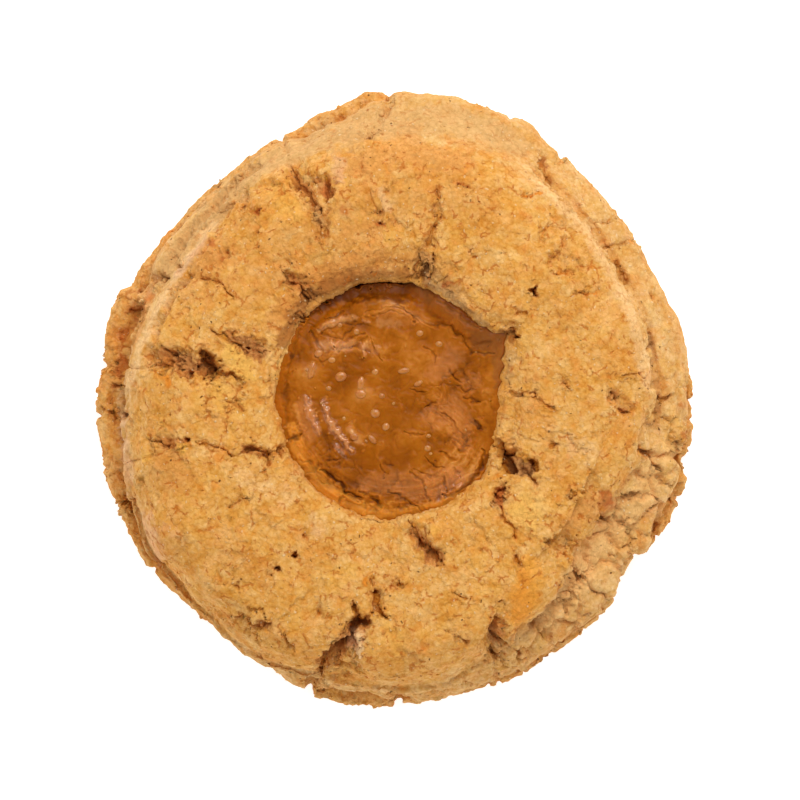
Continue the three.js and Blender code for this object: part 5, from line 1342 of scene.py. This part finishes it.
crustLook = {
    # tone ramps, from the bottom of a crack to the driest high spots
    "browned": [(0.0, "#7E3A0A"), (0.15, "#A25812"), (0.3, "#C0781F"), (0.42, "#D08D37"), (0.52, "#DC9E4A"),
                (0.62, "#E4AA5B"), (0.76, "#EDB872"), (1.0, "#F8CC98")],
    "pale": [(0.0, "#7C4304"), (0.14, "#9E5F1B"), (0.3, "#BE7F36"), (0.42, "#D3994F"), (0.52, "#DCA75F"),
             (0.62, "#E3B270"), (0.76, "#E9BC82"), (1.0, "#F4CDA4")],
    "evenTone": -0.022, # the higher, the paler the whole crust
    # colours laid over the tone
    "warm": "#F6D8A0", "fair": "#F2CA88", "foot": "#FFF8F0", "stroke": "#BA6418", "crevice": "#A65A1C",
    "rosy": "#FFF6EE", "golden": "#FFFBE8",
    # noises: size in mm, detail, roughness
    "noises": {"clump": (6, 2, 0.5), "patch": (2.4, 3, 0.6), "crumb": (1.2, 4, 0.7), "wobble": (0.9, 2, 0.6),
               "rosy": (4, 2, 0.6), "golden": (3.4, 2, 0.6), "stroke": (1.7, 3, 0.6), "craze": (1.4, 3, 0.7)},
    # mosaics of cells: size in mm, and what they measure
    "cells": {"grain": (0.62, "F1"), "flake": (1.3, "F1"), "rubble": (1.0, "F1"), "pinhole": (1.5, "F1"),
              "sugar": (0.85, "F1"), "burnt": (3.0, "F1"), "joint": (2.3, "DISTANCE_TO_EDGE"),
              "craze": (1.15, "DISTANCE_TO_EDGE")},
    "cellWobble": 0.9, # mm
    # spots in cells: radius as a share of the cell, share of cells, colour, strength, height in mm
    "spots": {"pinhole": (0.13, 0.30, "#66300A", 0.85, -0.16), "sugar": (0.24, 0.30, "#F4D3A0", 0.6, 0.07),
              "burnt": (0.10, 0.40, "#A8541C", 0.7, 0.0)},
    "roughness": 0.86,
    "shine": 0.2,
}


def bakedDough():
    # shortcrust dough baked in an oven: dry and matt, browned where it stood proud, pale on the steep sides
    look = crustLook
    material, add, noise = newMaterial("baked shortcrust dough", look["noises"])
    place = add("ShaderNodeTexCoord").outputs["Object"]
    marks = {name: add("ShaderNodeAttribute", attribute_name=name).outputs["Fac"]
             for name in ("dark", "pale", "foot", "rubble")}
    stain = add("ShaderNodeAttribute", attribute_name="stain").outputs
    clump, patch, crumb = noise["clump"], noise["patch"], noise["crumb"]
    wobble = noise["wobble"].outputs["Color"]
    reach = (look["cellWobble"] * mm,) * 3
    bent = add("ShaderNodeVectorMath", (wobble, reach, place), operation="MULTIPLY_ADD")
    cells, own = {}, {}
    for name, (size, feature) in look["cells"].items():
        cells[name] = add("ShaderNodeTexVoronoi", {"Vector": bent, "Scale": 1 / (size * mm)}, feature=feature)
        if feature == "F1":
            # a number for each cell
            own[name] = add("ShaderNodeSeparateColor", (cells[name].outputs["Color"],))

    # the tone, and the cracks' ragged edges; the dark mark lowers the tone there, which paints shade into the
    # cracks, the seam and the crease
    grain = add("ShaderNodeMath", (1.0, cells["grain"]), operation="SUBTRACT")
    uneven = add("ShaderNodeMath", (crumb, 0.5), operation="SUBTRACT")
    ragged = share(add, 1.0, (summed(add, marks["dark"], (uneven, 0.6)), 0.28, 0.46))
    cracked = add("ShaderNodeMath", (ragged, summed(add, 0.08, (marks["dark"], 0.75))), operation="MULTIPLY")
    # the crumb noise and the grains also raise the bumps below, so the tone paints their low places darker as
    # shade, besides the crust's own mottling
    tone = summed(add, look["evenTone"], (clump, 0.26), (crumb, 0.56), (own["grain"], 0.12), (grain, 0.22),
                  (cracked, -0.46))
    worn = summed(add, 0.42, (tone, 1.1))
    browned = add("ShaderNodeValToRGB", (tone,), stops=look["browned"])
    pale = add("ShaderNodeValToRGB", (tone,), stops=look["pale"])
    fair = coated(add, worn, [(1.0, look["fair"], "MULTIPLY")])
    stained = coated(add, stain["Color"], [(1.0, worn, "MULTIPLY")])
    torn = summed(add, stain["Alpha"], (uneven, 1.6))
    # short orange-brown strokes where flakes meet, fewer where the crust is pale
    stroke = share(add, summed(add, 1.0, (marks["pale"], -0.6)), (cells["joint"], 0.11, 0.01),
                   (noise["stroke"], 0.53, 0.62))
    deeper = share(add, 1.0, (cells["joint"], 0.05, 0.0), (crumb, 0.5, 0.6))
    coats = [
        (marks["pale"], pale, "MIX"),
        (share(add, 0.7, (patch, 0.52, 0.70)), look["warm"], "MULTIPLY"),
        (share(add, 0.26, (patch, 0.46, 0.30)), fair, "MIX"),
        (marks["foot"], look["foot"], "MULTIPLY"),
        (share(add, 0.2, (own["flake"], 0.62, 0.9)), fair, "MIX"),
        (share(add, 0.28, (own["flake"], 0.3, 0.05)), look["warm"], "MULTIPLY"),
        # a rosier or a more golden cast, a few millimetres across
        (share(add, 1.0, (noise["rosy"], 0.50, 0.64)), look["rosy"], "MULTIPLY"),
        (share(add, 1.0, (noise["golden"], 0.50, 0.36)), look["golden"], "MULTIPLY"),
        # stains, torn at their edges
        (share(add, stain["Alpha"], (torn, 0.08, 0.62)), stained, "MIX"),
        (summed(add, 0.0, (stroke, 0.75)), look["stroke"], "MIX"),
        (summed(add, 0.0, (deeper, 0.28)), look["crevice"], "MIX"),
        (share(add, 0.24, (cells["craze"], 0.09, 0.0), (noise["craze"], 0.5, 0.64)), look["stroke"], "MIX"),
    ]
    rubble = add("ShaderNodeMath", (own["rubble"], marks["rubble"]), operation="MULTIPLY")
    # heights in mm
    bumps = [(crumb, 0.38), (grain, 0.14), (own["flake"], 0.07), (stroke, -0.05), (deeper, -0.02),
             (ragged, -0.16), (rubble, 0.3)]
    for name, (radius, kept, tint, most, lift) in look["spots"].items():
        spot = share(add, 1.0, (cells[name], radius, radius * 0.4), (own[name], 1 - kept, 1.02 - kept))
        coats.append((summed(add, 0.0, (spot, most)), tint, "MIX"))
        bumps.append((spot, lift))
    shaded(add, coated(add, browned, coats), summed(add, 0.0, *bumps),
           {"Roughness": look["roughness"], "Specular IOR Level": look["shine"]})
    return material


spreadLook = {
    # from the creases to the ridges
    "tones": [(0.0, "#5A2803"), (0.2, "#8A4806"), (0.34, "#9E5508"), (0.46, "#AB6010"), (0.6, "#BA7022"),
              (0.8, "#C9863F"), (1.0, "#D89A54")],
    # noises: size in mm, detail, roughness
    "noises": {"swirl": (4.5, 3, 0.55), "fleck": (0.8, 3, 0.65), "dimple": (2, 3, 0.5),
               "sheen": (2.6, 2, 0.5)},
    "roughness": 0.18, # of the smoothest places that aren't wet
    "rougher": 0.35, # more than that at the roughest
    "wetSmoother": 0.14, # less than that where it is wet
    "gloss": 0.07, # where it isn't wet
    "wetGloss": 0.8, # more than that where it is
    "clarity": 0.5, # share of the light that goes under the skin
    "glowReach": (1.0, 0.45, 0.12), # mm it travels there, for red, green and blue
}


def fatSpread():
    # biscuit spread that has set: fat and sugar with ground crumbs, so it shines softly, more where it is wet
    look = spreadLook
    material, add, noise = newMaterial("set biscuit spread", look["noises"])
    high, wet = [add("ShaderNodeAttribute", attribute_name=name).outputs["Fac"] for name in ("high", "wet")]
    stain = add("ShaderNodeAttribute", attribute_name="stain").outputs
    # the skin's height lifts the tone: painted highlight on the ridges and painted shade in the creases
    tone = summed(add, 0.0, (noise["fleck"], 0.32), (noise["swirl"], 0.5), (high, 0.9))
    uneven = add("ShaderNodeMath", (noise["fleck"], 0.5), operation="SUBTRACT")
    torn = summed(add, stain["Alpha"], (uneven, 0.9))
    stained = coated(add, stain["Color"], [(1.0, summed(add, 0.6, (tone, 0.9)), "MULTIPLY")])
    plain = add("ShaderNodeValToRGB", (tone,), stops=look["tones"])
    colour = coated(add, plain, [(share(add, stain["Alpha"], (torn, 0.0, 0.6)), stained, "MIX")])
    shaded(add, colour, summed(add, 0.0, (noise["dimple"], 0.08), (noise["fleck"], 0.022)), {
        "Roughness": summed(add, look["roughness"], (noise["sheen"], look["rougher"]),
                            (wet, -look["wetSmoother"])),
        "Specular IOR Level": summed(add, look["gloss"], (wet, look["wetGloss"])),
        "Subsurface Weight": look["clarity"], "Subsurface Radius": look["glowReach"], "Subsurface Scale": mm})
    return material


studio = {
    "air": 0.75, # how strongly the white room lights everything
    # metres and watts
    "softbox": (0.10, 0.38, 0.62),
    "softboxAcross": 0.40,
    "softboxPower": 3.1,
    "aim": (0, 0, 0.015),
    "flag": (0, -0.04, 0.72),
    "flagRadius": 0.26,
    "floorAcross": 12,
    "floorDrop": 0.0002,
    "floorGlow": 0.68, # lit from below as well, so that the paper stays white round the cookie
    "camera": (0.83 * mm, 0, 0.35),
    "across": 0.12,
}


def paperLike(name, colour, glow):
    # a matt sheet for the studio
    material = bpy.data.materials.new(name)
    material.use_nodes = True
    inputs = material.node_tree.nodes["Principled BSDF"].inputs
    inputs["Base Color"].default_value = linear(colour)
    inputs["Roughness"].default_value = 0.9
    inputs["Emission Color"].default_value = linear("#FFFFFF")
    inputs["Emission Strength"].default_value = glow
    return material


def makeStudio():
    scene = bpy.context.scene
    scene.view_settings.view_transform = "Standard"
    world = bpy.data.worlds.new("studio air")
    world.use_nodes = True
    world.node_tree.nodes["Background"].inputs["Color"].default_value = linear("#FFFFFF")
    world.node_tree.nodes["Background"].inputs["Strength"].default_value = studio["air"]
    scene.world = world
    softbox = bpy.data.lights.new("key softbox", "AREA")
    softbox.shape = "DISK"
    softbox.size = studio["softboxAcross"]
    softbox.energy = studio["softboxPower"]
    light = bpy.data.objects.new("key softbox", softbox)
    scene.collection.objects.link(light)
    light.location = studio["softbox"]
    beam = Vector(studio["aim"]) - Vector(studio["softbox"])
    light.rotation_euler = beam.to_track_quat("-Z", "Y").to_euler()
    light.visible_camera = False
    # a dark flag hangs overhead, so that level glossy places don't mirror the bright room
    bpy.ops.mesh.primitive_circle_add(vertices=48, radius=studio["flagRadius"], fill_type="NGON",
                                      location=studio["flag"])
    flag = bpy.context.object
    flag.name = "flag"
    flag.visible_camera = False
    flag.data.materials.append(paperLike("black cloth", "#050505", 0.0))
    bpy.ops.mesh.primitive_plane_add(size=studio["floorAcross"])
    floor = bpy.context.object
    floor.name = "floor"
    floor.data.materials.append(paperLike("white paper", "#E6E6E6", studio["floorGlow"]))
    floor.location.z = -studio["floorDrop"]
    camera = bpy.data.cameras.new("camera")
    camera.type = "ORTHO"
    camera.ortho_scale = studio["across"]
    camera.clip_start = 0.01
    cameraObject = bpy.data.objects.new("camera", camera)
    scene.collection.objects.link(cameraObject)
    cameraObject.location = studio["camera"]
    scene.camera = cameraObject


makeStudio()
print("studio made")
crust, spread = bakedDough(), fatSpread()
print("materials made")
cookieDough = makeDough()
fitToCad(cookieDough, *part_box("dough"))
cookieDough.data.materials.append(crust)
print("dough made")
cookieFilling = makeFilling()
cookieFilling.data.materials.append(spread)
print("filling made")
lumps = scatterTree()
doughCrumbs = strew("dough_crumbs", crumbs, cookieDough.data, "crumbly", lumps, crust)
sugarGrains = strew("sugar_grains", sugar, cookieDough.data, "browned", lumps, crust)
print("crumbs and sugar strewn")
spreadBubbles = makeBubbles(cookieFilling, spread)
print("bubbles made")
for piece, solid, slot in ((cookieDough, "dough", "baked_dough"), (cookieFilling, "filling", "set_spread"),
                           (doughCrumbs, None, "baked_dough"), (sugarGrains, None, "baked_dough"),
                           (spreadBubbles, None, "set_spread")):
    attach(piece, "root")
    if solid:
        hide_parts(solid)
    else:
        keptInside(piece, cadLow, cadHigh)
